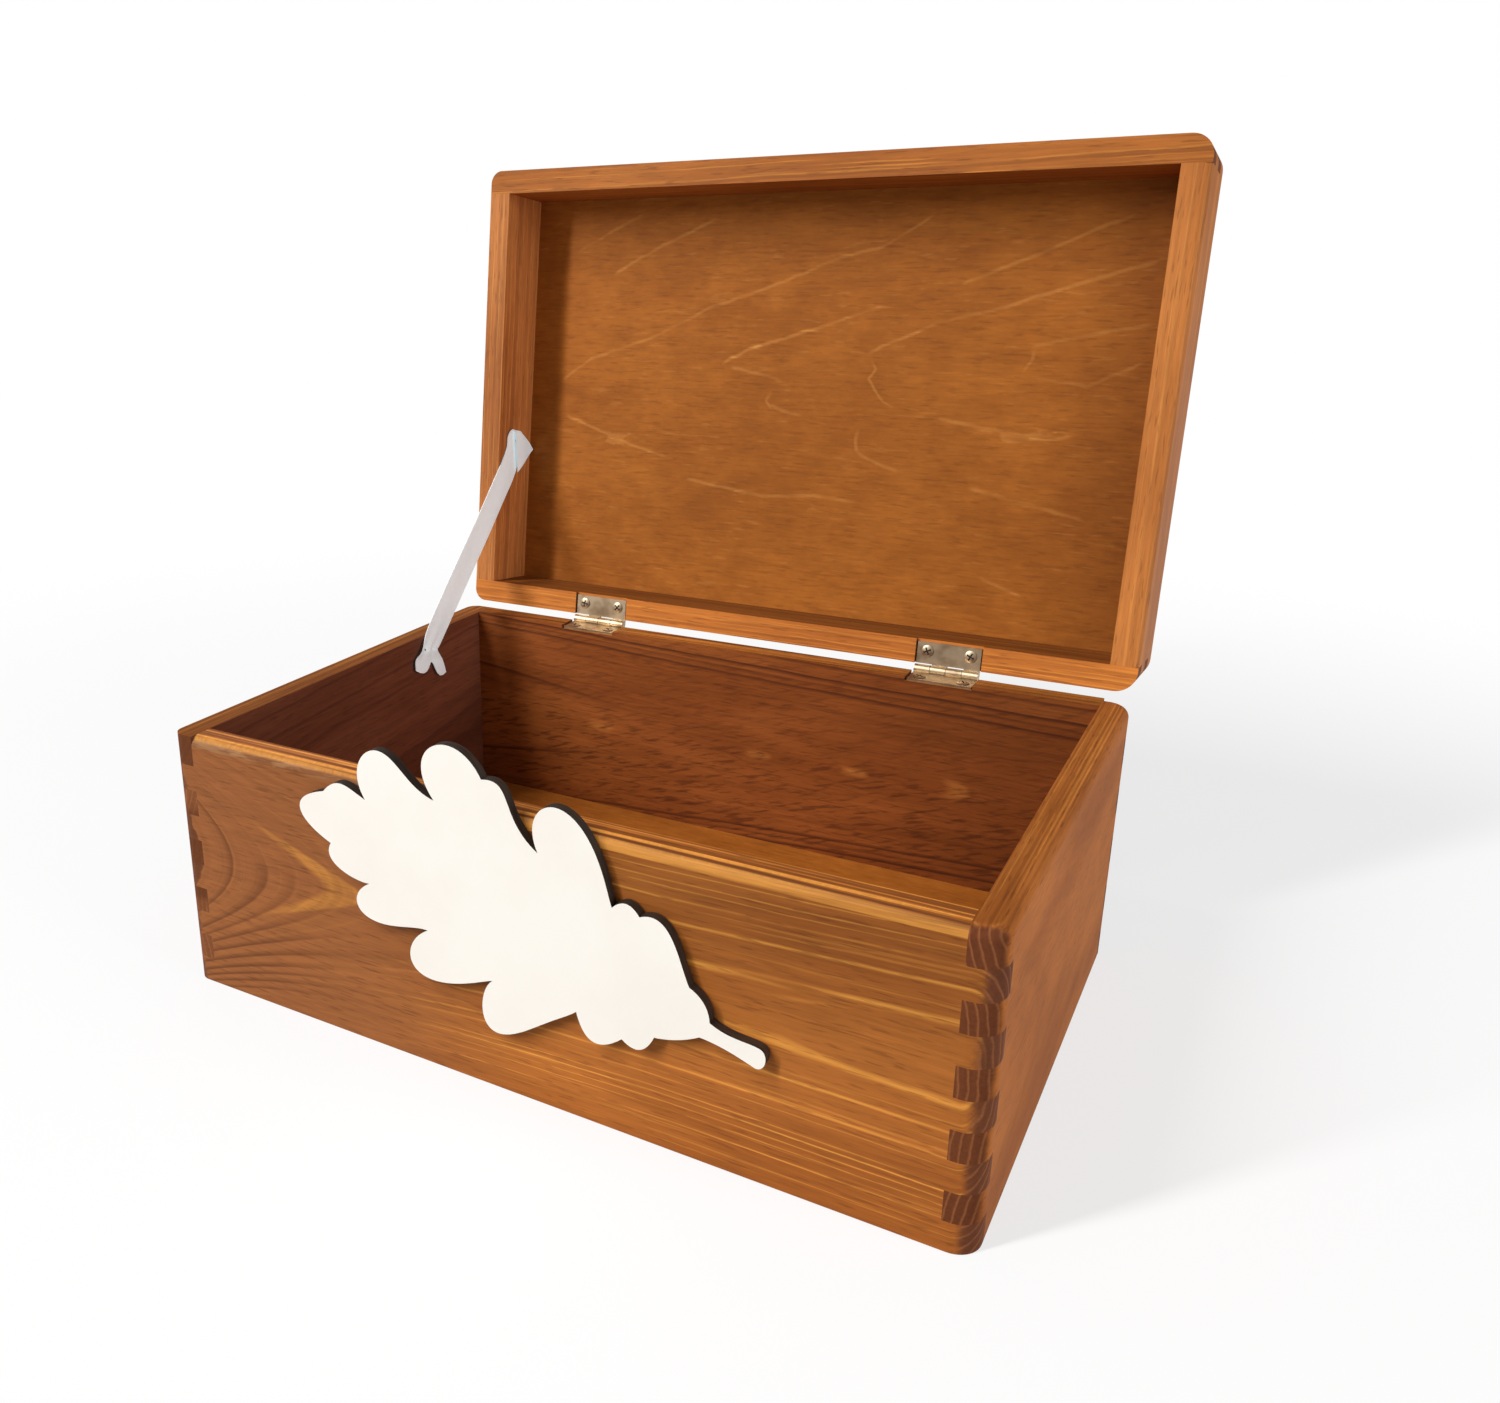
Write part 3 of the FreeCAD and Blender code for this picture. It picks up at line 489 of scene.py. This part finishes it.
# plywood of the lid and the floor; pale lines lie across the lid and up it, in mm from its middle and hinge side
# patches: middle, width and height
plywood = {
    "brown": paint(146, 82, 28), "orange": paint(170, 100, 36), "pale": paint(216, 148, 76),
    "dark": paint(112, 58, 20), "rough": 0.6, "roughSway": 0.16, "gloss": 0.1, "bump": (0.3, 0.00015),
    "hingeSide": 200.0, "cloudShare": 0.4, "cloudShows": (0.3, 0.7), "fleckShows": (0.54, 0.7),
    "fleckShare": 0.3, "glintShows": (0.6, 0.76), "glintShare": 0.16, "fibreShade": (0.74, 0.52),
    "rightShade": 0.36, "rightFrom": (96.0, 140.0), "hingeLight": 0.06, "hingeBand": (10.0, 70.0),
    "across": (
        ((-118, 167), (-100, 176), (-84, 183)), ((-98, 157), (-74, 169), (-48, 180)),
        ((-123, 108), (-108, 118), (-74, 129), (-48, 142), (-20, 151), (8, 162), (28, 167), (48, 179)),
        ((-40, 118), (-28, 124), (0, 133), (30, 143)), ((-36, 116), (-24, 114), (-12, 111)),
        ((62, 152), (90, 163), (110, 172), (124, 177)),
        ((26, 124), (44, 132), (52, 136), (80, 143), (92, 147), (120, 156), (134, 160)),
        ((92, 128), (110, 132), (135, 137)), ((93, 116), (114, 113), (122, 117), (134, 123)),
        ((-16, 100), (-10, 98), (0, 96)), ((58, 98), (70, 96), (84, 94), (104, 92), (112, 94)),
        ((-120, 91), (-100, 84), (-88, 80), (-64, 74)), ((-54, 65), (-28, 61.5), (-16, 60), (8, 62), (30, 61)),
        ((25, 82), (34, 78), (46, 75)), ((74, 70), (96, 66), (120, 61)), ((82, 34), (100, 28))),
    "up": (
        ((102, 38), (104, 34), (109, 30), (113, 27), (117, 30), (122, 27)), ((118, 90), (123, 93), (127, 93)),
        ((98, -15), (102, -18), (106, -16)), ((82, 25), (88, 24), (92, 25))),
    "patches": ((95.0, 92.5, 20.0, 4.5), (-93.0, 81.0, 12.0, 5.0)),
    # a ramp holds levels from 0 to 1, so a place in mm is divided by its span and raised
    "rampSpan": 1000.0, "rampBase": 0.2, "lineSway": 2.0, "lineWide": (0.2, 1.2),
    "lineStart": (-1.0, 2.0), "lineEnd": (-4.0, 1.0), "lineShare": 0.46, "lineLeast": 0.3,
    "breakShows": (0.34, 0.58), "lineGlint": (0.6, 0.9), "patchSway": (16.0, 6.0),
    "patchWide": (0.4, 0.55), "patchHigh": (0.3, 0.6),
}
plyNoise = {
    "crumple": ((0.12, 0.16, 0.16), 1.0, 3.0, 0.6), "fibre": ((0.07, 0.7, 0.7), 4.0, 3.0, 0.65),
    "flecks": ((0.12, 0.8, 0.8), 6.0, 2.0, 0.5), "glints": ((0.09, 0.6, 0.6), 10.0, 2.0, 0.5),
    "mottle": ((0.05, 0.08, 0.08), 12.0, 4.0, 0.7), "cloud": ((0.012, 0.02, 0.02), 8.0, 3.0, 0.6),
    "breaks": ((0.06, 0.08, 0.08), 2.0, 2.0, 0.5),
}


def paleLines(x, u, crumple):
    # 1 on the lid's pale lines and patches, 0 beside them
    pale = 0.0 * x
    lines = [(line, x, u) for line in plywood["across"]] + [(line, u, x) for line in plywood["up"]]
    span, base = plywood["rampSpan"], plywood["rampBase"]
    for line, run, beside in lines:
        # how far from the line, and only between its ends
        level = run.ramp([(at, side / span + base) for at, side in line])
        off = abs(beside + plywood["lineSway"] * crumple - (level - base) * span)
        first, last = line[0][0], line[-1][0]
        ends = run.rise(*(first + soft for soft in plywood["lineStart"]))
        ends = ends * run.fall(*(last + soft for soft in plywood["lineEnd"]))
        pale = pale.least(off.fall(*plywood["lineWide"]) * ends)
    swayX, swayU = plywood["patchSway"]
    for spotX, spotU, wide, high in plywood["patches"]:
        beside = abs(x - spotX + swayX * crumple).rise(*(share * wide for share in plywood["patchWide"]))
        above = abs(u - spotU + swayU * crumple).rise(*(share * high for share in plywood["patchHigh"]))
        patch = beside.least(above)
        pale = pale.least(1.0 - patch)
    return pale


def plyMaterial(name, swung, light, seed, lined):
    material, place, _ = newMaterial(name, swung)
    x, y, _ = split(place)
    u = plywood["hingeSide"] - y

    def grain(kind):
        stretch, shift, detail, rough = plyNoise[kind]
        return place.noise(stretch, seed + shift, detail, rough)

    fibre = grain("fibre")
    flecks = grain("flecks").rise(*plywood["fleckShows"])
    glints = grain("glints").rise(*plywood["glintShows"])
    clouds = plywood["cloudShare"] * grain("cloud") + (1.0 - plywood["cloudShare"]) * grain("mottle")
    colour = clouds.rise(*plywood["cloudShows"]).blend(plywood["brown"], plywood["orange"])
    colour = (plywood["fleckShare"] * flecks).blend(colour, plywood["dark"])
    colour = (plywood["glintShare"] * glints).blend(colour, plywood["pale"])
    if lined:
        pale = plywood["lineShare"] * paleLines(x, u, grain("crumple") - 0.5)
        breaks = grain("breaks").rise(*plywood["breakShows"])
        base, gain = plywood["lineGlint"]
        pale = pale * breaks.lifted(plywood["lineLeast"]) * (base + gain * glints)
        colour = pale.blend(colour, plywood["pale"])
    base, gain = plywood["fibreShade"]
    shade = light * (base + gain * fibre) * (1.0 - plywood["rightShade"] * x.rise(*plywood["rightFrom"]))
    shade = shade * (1.0 + plywood["hingeLight"] * u.fall(*plywood["hingeBand"]))
    closeMaterial(place, {
        "Base Color": shade.shade(colour), "Roughness": plywood["rough"] + plywood["roughSway"] * (fibre - 0.5),
        "Specular IOR Level": plywood["gloss"], "Normal": fibre.bump(*plywood["bump"])})
    return material


panels = {
    "lid_panel": {"name": "stainedPlywood_lid", "swung": True, "light": 1.0, "seed": 41.0, "lined": True},
    "bottom_panel": {"name": "stainedPlywood_floor", "swung": False, "light": 1.1, "seed": 47.0, "lined": False},
}
for name, panel in panels.items():
    dress(name, plyMaterial(**panel))
print("plywood stained")


# nickel plate of the hinges, pins and staples, and the painted shade in a screw's recess and under its edge
nickel = {
    "colour": paint(196, 174, 144), "stain": paint(146, 122, 94), "stainShows": (0.42, 0.75), "metal": 1.0,
    "rough": 0.44, "roughSway": 0.2, "bump": (0.05, 0.0001),
    "scuff": ((0.4, 2.2, 2.2), 3.0, 3.0, 0.6), "cloud": ((0.12, 0.12, 0.12), 5.0, 2.0),
}
recessDark = {
    "colour": paint(70, 58, 46), "deepShade": paint(36, 28, 22), "metal": 0.4, "rough": 0.6, "roughSway": 0.2,
    "grains": ((2.0, 2.0, 2.0), 8.0, 2.0),
}


def nickelMaterial(name):
    material, place, _ = newMaterial(name)
    scuff = place.noise(*nickel["scuff"])
    stain = place.noise(*nickel["cloud"]).rise(*nickel["stainShows"])
    closeMaterial(place, {
        "Base Color": stain.blend(nickel["colour"], nickel["stain"]), "Metallic": nickel["metal"],
        "Roughness": nickel["rough"] + nickel["roughSway"] * (scuff - 0.5),
        "Normal": scuff.bump(*nickel["bump"])})
    return material


def recessShadeMaterial(name):
    material, place, _ = newMaterial(name)
    grains = place.noise(*recessDark["grains"])
    closeMaterial(place, {
        "Base Color": grains.blend(recessDark["colour"], recessDark["deepShade"]), "Metallic": recessDark["metal"],
        "Roughness": recessDark["rough"] + recessDark["roughSway"] * (grains - 0.5)})
    return material


hingeNickel = nickelMaterial("nickelPlate")
recessShade = recessShadeMaterial("recessShade")
metalNodes = [
    "left_hinge_box_plate", "right_hinge_box_plate", "left_hinge_lid_plate", "right_hinge_lid_plate",
    "left_hinge_pin", "right_hinge_pin", "ribbon_box_staple", "ribbon_lid_staple",
]
for name in metalNodes:
    dress(name, hingeNickel)

# the leaf: white painted face, edge browned by the cutter
leaf = {
    "white": paint(250, 245, 236), "shade": paint(246, 240, 230), "shadeShows": (0.35, 0.75),
    "edge": paint(26, 22, 18), "scorch": paint(58, 40, 27), "scorchShows": (0.35, 0.7), "faceFrom": (0.6, 0.9),
    "soft": ((0.03, 0.03, 0.03), 2.0, 3.0), "tooth": ((2.2, 2.2, 2.2), 4.0, 2.0),
    "layers": ((0.15, 2.0, 0.15), 6.0, 2.0), "rough": 0.62, "roughSway": 0.15, "bump": (0.15, 0.0001),
}


def leafMaterial(name):
    material, place, facing = newMaterial(name)
    toEdge = abs(split(facing)[1]).fall(*leaf["faceFrom"])
    tooth = place.noise(*leaf["tooth"])
    face = place.noise(*leaf["soft"]).rise(*leaf["shadeShows"]).blend(leaf["white"], leaf["shade"])
    rim = place.noise(*leaf["layers"]).rise(*leaf["scorchShows"]).blend(leaf["edge"], leaf["scorch"])
    closeMaterial(place, {
        "Base Color": toEdge.blend(face, rim), "Roughness": leaf["rough"] + leaf["roughSway"] * (tooth - 0.5),
        "Normal": tooth.bump(*leaf["bump"])})
    return material


dress("leaf_plaque", leafMaterial("paintedLeaf"))

tape = {
    "grey": paint(214, 212, 206), "white": paint(238, 237, 232), "cells": ((3.0, 3.0, 3.0), 1.0, 2.0),
    "rough": 0.8, "bump": (0.3, 0.0001),
}


def tapeMaterial(name):
    material, place, _ = newMaterial(name)
    cells = place.noise(*tape["cells"])
    closeMaterial(place, {
        "Base Color": cells.blend(tape["grey"], tape["white"]), "Roughness": tape["rough"],
        "Normal": cells.bump(*tape["bump"])})
    return material


dress("plaque_tape", tapeMaterial("foamTape"))
print("hinges, leaf and tape finished")


def chooseOnly(obj):
    bpy.ops.object.select_all(action="DESELECT")
    obj.select_set(True)
    bpy.context.view_layer.objects.active = obj


def editStart(obj):
    chooseOnly(obj)
    bpy.ops.object.mode_set(mode="EDIT")
    bpy.ops.mesh.select_mode(type="FACE")
    bpy.ops.mesh.select_all(action="DESELECT")


def pickFaces(obj, wanted):
    # faces are picked in object mode
    bpy.ops.object.mode_set(mode="OBJECT")
    for face in obj.data.polygons:
        face.select = wanted(face)
    bpy.ops.object.mode_set(mode="EDIT")


def settle(obj):
    # the place goes into the mesh, as a CAD node has it
    chooseOnly(obj)
    bpy.ops.object.transform_apply(location=True, rotation=True, scale=True)


def copyOf(obj, name, matrix):
    twin = obj.copy()
    twin.data = obj.data.copy()
    twin.name = name
    twin.data.transform(matrix)
    bpy.context.scene.collection.objects.link(twin)
    return twin


def joined(parts, name):
    bpy.ops.object.select_all(action="DESELECT")
    for part in parts:
        part.select_set(True)
    bpy.context.view_layer.objects.active = parts[0]
    bpy.ops.object.join()
    parts[0].name = name
    parts[0].data.name = name
    return parts[0]


# domed screw heads with a cross recess, mm
screw = {
    "radius": 2.45, "edge": 0.24, "crown": ((0.35, 0.14), (0.5, 0.14), (0.55, 0.09), (0.4, 0.04)),
    "slotLong": 2.9, "slotWide": 0.7, "slotDeep": 0.45, "pinch": (0.6, 0.6, 1.0), "under": 102.25,
    "acrossY": 194.7, "hinges": (-80.0, 80.0), "spacing": 17.2, "turns": (12.0, 40.0, 64.0, 25.0),
    "around": 40, "smooth": 40.0,
    # faces with painted shade: the recess, and the lower part of the edge
    "shadeWide": 0.36, "shadeLong": 1.46, "shadeBelow": 0.06, "shadeAbove": 0.15, "shadeEdge": 0.01,
}


def screwHead():
    bpy.ops.object.select_all(action="DESELECT")
    bpy.ops.mesh.primitive_circle_add(vertices=screw["around"], radius=screw["radius"] * mm, fill_type="NGON")
    head = bpy.context.active_object
    editStart(head)
    bpy.ops.mesh.select_all(action="SELECT")
    bpy.ops.mesh.extrude_region_move(TRANSFORM_OT_translate={"value": (0, 0, screw["edge"] * mm)})
    for inset, up in screw["crown"]:
        bpy.ops.mesh.inset(thickness=inset * mm, depth=up * mm)
    bpy.ops.mesh.select_all(action="SELECT")
    bpy.ops.mesh.normals_make_consistent(inside=False)
    bpy.ops.object.mode_set(mode="OBJECT")
    top = screw["edge"] + sum(up for _, up in screw["crown"])
    # the cross is cut by two crossing bars, smaller below
    for turn in (0.0, 90.0):
        bpy.ops.object.select_all(action="DESELECT")
        bpy.ops.mesh.primitive_cube_add(size=mm, location=(0, 0, top * mm))
        bar = bpy.context.active_object
        bar.scale = (screw["slotLong"], screw["slotWide"], screw["slotDeep"] * 2)
        bar.rotation_euler = (0, 0, math.radians(turn))
        settle(bar)
        editStart(bar)
        pickFaces(bar, lambda face: face.normal.z < -0.9)  # the face that looks down
        bpy.ops.transform.resize(value=screw["pinch"])
        bpy.ops.object.mode_set(mode="OBJECT")
        cut = head.modifiers.new("recess", "BOOLEAN")
        cut.operation = "DIFFERENCE"
        cut.object = bar
        chooseOnly(head)
        bpy.ops.object.modifier_apply(modifier=cut.name)
        bpy.data.objects.remove(bar)
    bpy.ops.object.shade_smooth_by_angle(angle=math.radians(screw["smooth"]))
    head.data.materials.append(hingeNickel)
    head.data.materials.append(recessShade)
    for face in head.data.polygons:
        wide, long = sorted((abs(face.center.x), abs(face.center.y)))
        inside = wide < screw["shadeWide"] * mm and long < screw["shadeLong"] * mm
        inside = inside and screw["shadeAbove"] * mm < face.center.z < (top - screw["shadeBelow"]) * mm
        under = face.center.z < (0.5 * screw["edge"] + screw["shadeEdge"]) * mm
        face.material_index = 1 if under or inside else 0
    return head


def screwSet(name, pattern, swing):
    parts = []
    for hinge in screw["hinges"]:
        for side in (-0.5, 0.5):
            turn = Matrix.Rotation(math.radians(screw["turns"][len(parts)]), 4, "Z")
            spot = Vector((hinge + side * screw["spacing"], screw["acrossY"], screw["under"])) * mm
            parts.append(copyOf(pattern, name + str(len(parts)), swing @ Matrix.Translation(spot) @ turn))
    return joined(parts, name)


pattern = screwHead()
boxScrews = screwSet("hinge_box_screw_heads", pattern, Matrix.Identity(4))
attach(boxScrews, "box")
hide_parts("hinge_box_screws")

# the lid's heads look down when it is shut, and swing open with it
pin = Vector((0, lidSwing["pinY"], lidSwing["pinZ"])) * mm
swingOpen = Matrix.Rotation(math.radians(-lidSwing["open"]), 4, "X")
swingOpen = Matrix.Translation(pin) @ swingOpen @ Matrix.Translation(-pin)
facesDown = Matrix.Translation((0, 0, lidSwing["pinZ"] * mm)) @ Matrix.Diagonal((1, 1, -1, 1))
facesDown = facesDown @ Matrix.Translation((0, 0, -lidSwing["pinZ"] * mm))
lidScrews = screwSet("hinge_lid_screw_heads", pattern, swingOpen @ facesDown)
editStart(lidScrews)
bpy.ops.mesh.select_all(action="SELECT")
bpy.ops.mesh.flip_normals()
bpy.ops.object.mode_set(mode="OBJECT")
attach(lidScrews, "lid")
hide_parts("hinge_lid_screws")
bpy.data.objects.remove(pattern)
print("screw heads placed")

# satin ribbon: rows from the notched tail on the box to the flap folded over at the lid
# each row: one edge and the other edge (y, z) and how far it stands off the wall, mm
ribbon = {
    "wall": -140.0, "across": 12, "thick": 0.22, "clear": 0.35, "steps": 7, "smooth": 50.0,
    "rows": (
        (137.4, 90.6, 159.6, 83.4, 1.2), (136.8, 94.0, 157.2, 88.6, 1.0), (140.6, 97.4, 152.8, 94.6, 1.7),
        (146.7, 105.0, 156.4, 95.8, 0.7), (160.7, 119.4, 170.4, 109.6, 0.6), (175.7, 134.4, 185.4, 124.6, 0.5),
        (190.7, 149.4, 200.4, 139.6, 0.6), (204.7, 163.4, 214.4, 153.6, 0.5), (213.2, 171.9, 223.0, 162.2, 0.5),
        (218.2, 178.4, 228.2, 170.6, 0.5), (219.2, 183.6, 229.6, 180.6, 0.6), (221.6, 186.4, 229.6, 184.6, 1.1),
        (224.2, 185.2, 231.0, 183.2, 1.7), (225.0, 177.0, 236.2, 178.8, 1.9), (225.6, 165.4, 240.0, 174.6, 1.8),
    ),
    "ripple": {"high": 0.25, "across": 7.0, "along": 1.3},
    "gather": {"row": 2.0, "wide": 0.9, "high": 0.7, "waves": 15.0, "start": 0.6},
    "tail": {"high": 0.8, "waves": 9.0, "start": 1.0},
    "sway": {"long": 2.2, "waves": 7.5, "start": 2.6},
    "notch": {"long": 3.6, "waves": 8.4, "at": 0.52, "drop": 0.8},
}
satin = {
    "white": paint(255, 255, 255), "grey": paint(246, 246, 248), "whiteShows": (0.3, 0.7), "weaveShare": 0.6,
    "weave": ((0.5, 0.5, 0.5), 2.0, 2.0), "slant": 45.0, "threads": ((0.2, 6.0, 0.4), 1.0, 2.0),
    "rough": 0.4, "roughSway": 0.2, "bump": (0.2, 0.00008), "sheen": 0.3, "sheenRough": 0.4,
    # painted light: a faint bluish glow stands in for light that comes through the satin
    "glow": (0.55, 0.9, 1.0, 1.0), "glowPower": 0.15,
}


def curveThrough(points, t):
    # smooth line through points, t in steps from the first
    i = min(int(t), len(points) - 2)
    f = t - i
    p0, p1, p2, p3 = (points[min(max(i + k, 0), len(points) - 1)] for k in (-1, 0, 1, 2))
    return tuple(
        0.5 * (2 * b + (c - a) * f + (2 * a - 5 * b + 4 * c - d) * f * f + (3 * b - a - 3 * c + d) * f ** 3)
        for a, b, c, d in zip(p0, p1, p2, p3))


def ribbonPiece():
    rows, across = ribbon["rows"], ribbon["across"]
    count = (len(rows) - 1) * ribbon["steps"]
    ripple, gather, tail = ribbon["ripple"], ribbon["gather"], ribbon["tail"]
    sway, notch = ribbon["sway"], ribbon["notch"]
    bpy.ops.object.select_all(action="DESELECT")
    bpy.ops.mesh.primitive_grid_add(x_subdivisions=across, y_subdivisions=count, size=1.0)
    piece = bpy.context.active_object
    piece.name = piece.data.name = "satin_ribbon_band"
    for vertex in piece.data.vertices:
        s, v = (vertex.co.y + 0.5) * (len(rows) - 1), vertex.co.x + 0.5
        ay, az, by, bz, off = curveThrough(rows, s)
        y, z = ay + (by - ay) * v, az + (bz - az) * v
        off += ripple["high"] * (math.sin(ripple["across"] * v + ripple["along"] * s) * 0.5 + 0.5)
        gathered = math.exp(-((s - gather["row"]) / gather["wide"]) ** 2)
        off += gathered * gather["high"] * math.sin(gather["waves"] * v + gather["start"])
        # the tail stands in waves and is cut in two points
        loose = max(0.0, 1.0 - s)
        off += loose * tail["high"] * math.sin(tail["waves"] * v + tail["start"])
        y += loose * sway["long"] * math.cos(sway["waves"] * v - sway["start"])
        beside = v - notch["at"]
        z += loose * (notch["long"] * math.cos(notch["waves"] * beside) * (1.0 - abs(beside)) - notch["drop"])
        vertex.co = Vector((ribbon["wall"] + max(off, ribbon["clear"]), y, z)) * mm
    thick = piece.modifiers.new("cloth", "SOLIDIFY")
    thick.thickness = ribbon["thick"] * mm
    thick.offset = 0.0
    bpy.ops.object.modifier_apply(modifier=thick.name)
    bpy.ops.object.shade_smooth_by_angle(angle=math.radians(ribbon["smooth"]))
    return piece


def ribbonMaterial(name):
    material, place, _ = newMaterial(name)
    weave = place.noise(*satin["weave"])
    threads = place.turned((math.radians(satin["slant"]), 0, 0)).noise(*satin["threads"])
    cloth = satin["weaveShare"] * weave + (1.0 - satin["weaveShare"]) * threads
    closeMaterial(place, {
        "Base Color": cloth.rise(*satin["whiteShows"]).blend(satin["grey"], satin["white"]),
        "Roughness": satin["rough"] + satin["roughSway"] * (threads - 0.5),
        "Normal": threads.bump(*satin["bump"]),
        "Sheen Weight": satin["sheen"], "Sheen Roughness": satin["sheenRough"],
        # painted light: the satin's glow
        "Emission Color": satin["glow"], "Emission Strength": satin["glowPower"]})
    return material


band = ribbonPiece()
band.data.materials.append(ribbonMaterial("satinRibbon"))
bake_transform(band)
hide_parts("ribbon_stay")
print("ribbon hung")

# floor and lamps, in metres and watts; the fade of the floor is in millimetres
studio = {
    "floor": (0.45, 0.45, 0.45, 1.0), "floorSeen": (0.95, 0.95, 0.95, 1.0), "floorWide": 12.0, "floorZ": -0.0002,
    "floorRough": 0.9, "floorGloss": 0.1, "backdrop": 0.72, "fade": (450.0, 900.0),
    "white": (1, 1, 1, 1), "whitePower": 1.0, "sky": 0.27, "target": (0, 0.1, 0.12),
}
lamps = {
    "keyLamp": {"aim": (-0.48, -0.65, 0.63), "far": 4.0, "wide": (0.35, 3.4), "power": 178.0},
    "fillLamp": {"aim": (0.98, -0.08, 0.15), "far": 2.0, "wide": (0.8, 0.8), "power": 17.0},
}


def makeFloor():
    bpy.ops.object.select_all(action="DESELECT")
    bpy.ops.mesh.primitive_plane_add(size=studio["floorWide"], location=(0, 0, studio["floorZ"]))
    floor = bpy.context.active_object
    floor.name = "floor"
    material, place, _ = newMaterial("paleFloor")
    path = place.node("ShaderNodeLightPath", None, None, "Is Camera Ray")
    seen = path.least(path.other("Is Glossy Ray")).least(path.other("Is Transmission Ray"))
    pale = seen.blend(studio["floor"], studio["floorSeen"])
    lit = place.node("ShaderNodeBsdfPrincipled", None, {
        "Base Color": pale, "Roughness": studio["floorRough"], "Specular IOR Level": studio["floorGloss"]})
    white = place.node("ShaderNodeEmission", None, {"Color": studio["white"], "Strength": studio["whitePower"]})
    # the floor runs out into the white backdrop
    away = place.node("ShaderNodeVectorMath", {"operation": "LENGTH"}, {0: place}, "Value")
    fade = studio["backdrop"] + (1.0 - studio["backdrop"]) * away.rise(*studio["fade"])
    mixed = place.node("ShaderNodeMixShader", None, {0: seen * fade, 1: lit, 2: white})
    place.node("ShaderNodeOutputMaterial", None, {"Surface": mixed})
    floor.data.materials.append(material)


def makeWorld():
    world = bpy.data.worlds.new("studio")
    world.use_nodes = True
    tree = world.node_tree
    tree.nodes.clear()
    path = Signal(tree, None).node("ShaderNodeLightPath", None, None, "Is Camera Ray")
    dim = path.node("ShaderNodeBackground", None, {"Color": studio["white"], "Strength": studio["sky"]})
    white = path.node("ShaderNodeBackground", None, {"Color": studio["white"], "Strength": studio["whitePower"]})
    mixed = path.node("ShaderNodeMixShader", None, {0: path, 1: dim, 2: white})
    path.node("ShaderNodeOutputWorld", None, {"Surface": mixed})
    bpy.context.scene.world = world


def softLamp(name, aim, far, wide, power):
    data = bpy.data.lights.new(name, "AREA")
    data.shape = "RECTANGLE"
    data.size, data.size_y = wide
    data.energy = power
    lamp = bpy.data.objects.new(name, data)
    bpy.context.scene.collection.objects.link(lamp)
    back = Vector(aim).normalized()
    lamp.location = Vector(studio["target"]) + back * far
    lamp.rotation_euler = back.to_track_quat("Z", "Y").to_euler()
    lamp.visible_camera = False


makeFloor()
makeWorld()
for name, lamp in lamps.items():
    softLamp(name, **lamp)

# the photograph's camera: metres, degrees, and lens and sensor in mm
view = {
    "place": (0.20503, -0.31444, 0.27434), "turn": (71.7526, 1.3237, 32.1736),
    "lens": 31.4596, "sensor": 36.0, "shiftX": 0.154274, "shiftY": -0.020964,
}
lens = bpy.data.cameras.new("camera")
lens.sensor_width = view["sensor"]
lens.sensor_fit = "HORIZONTAL"
lens.lens = view["lens"]
lens.shift_x, lens.shift_y = view["shiftX"], view["shiftY"]
camera = bpy.data.objects.new("camera", lens)
bpy.context.scene.collection.objects.link(camera)
camera.location = view["place"]
camera.rotation_euler = [math.radians(a) for a in view["turn"]]
bpy.context.scene.camera = camera
bpy.context.scene.view_settings.view_transform = "Standard"
print("studio set")
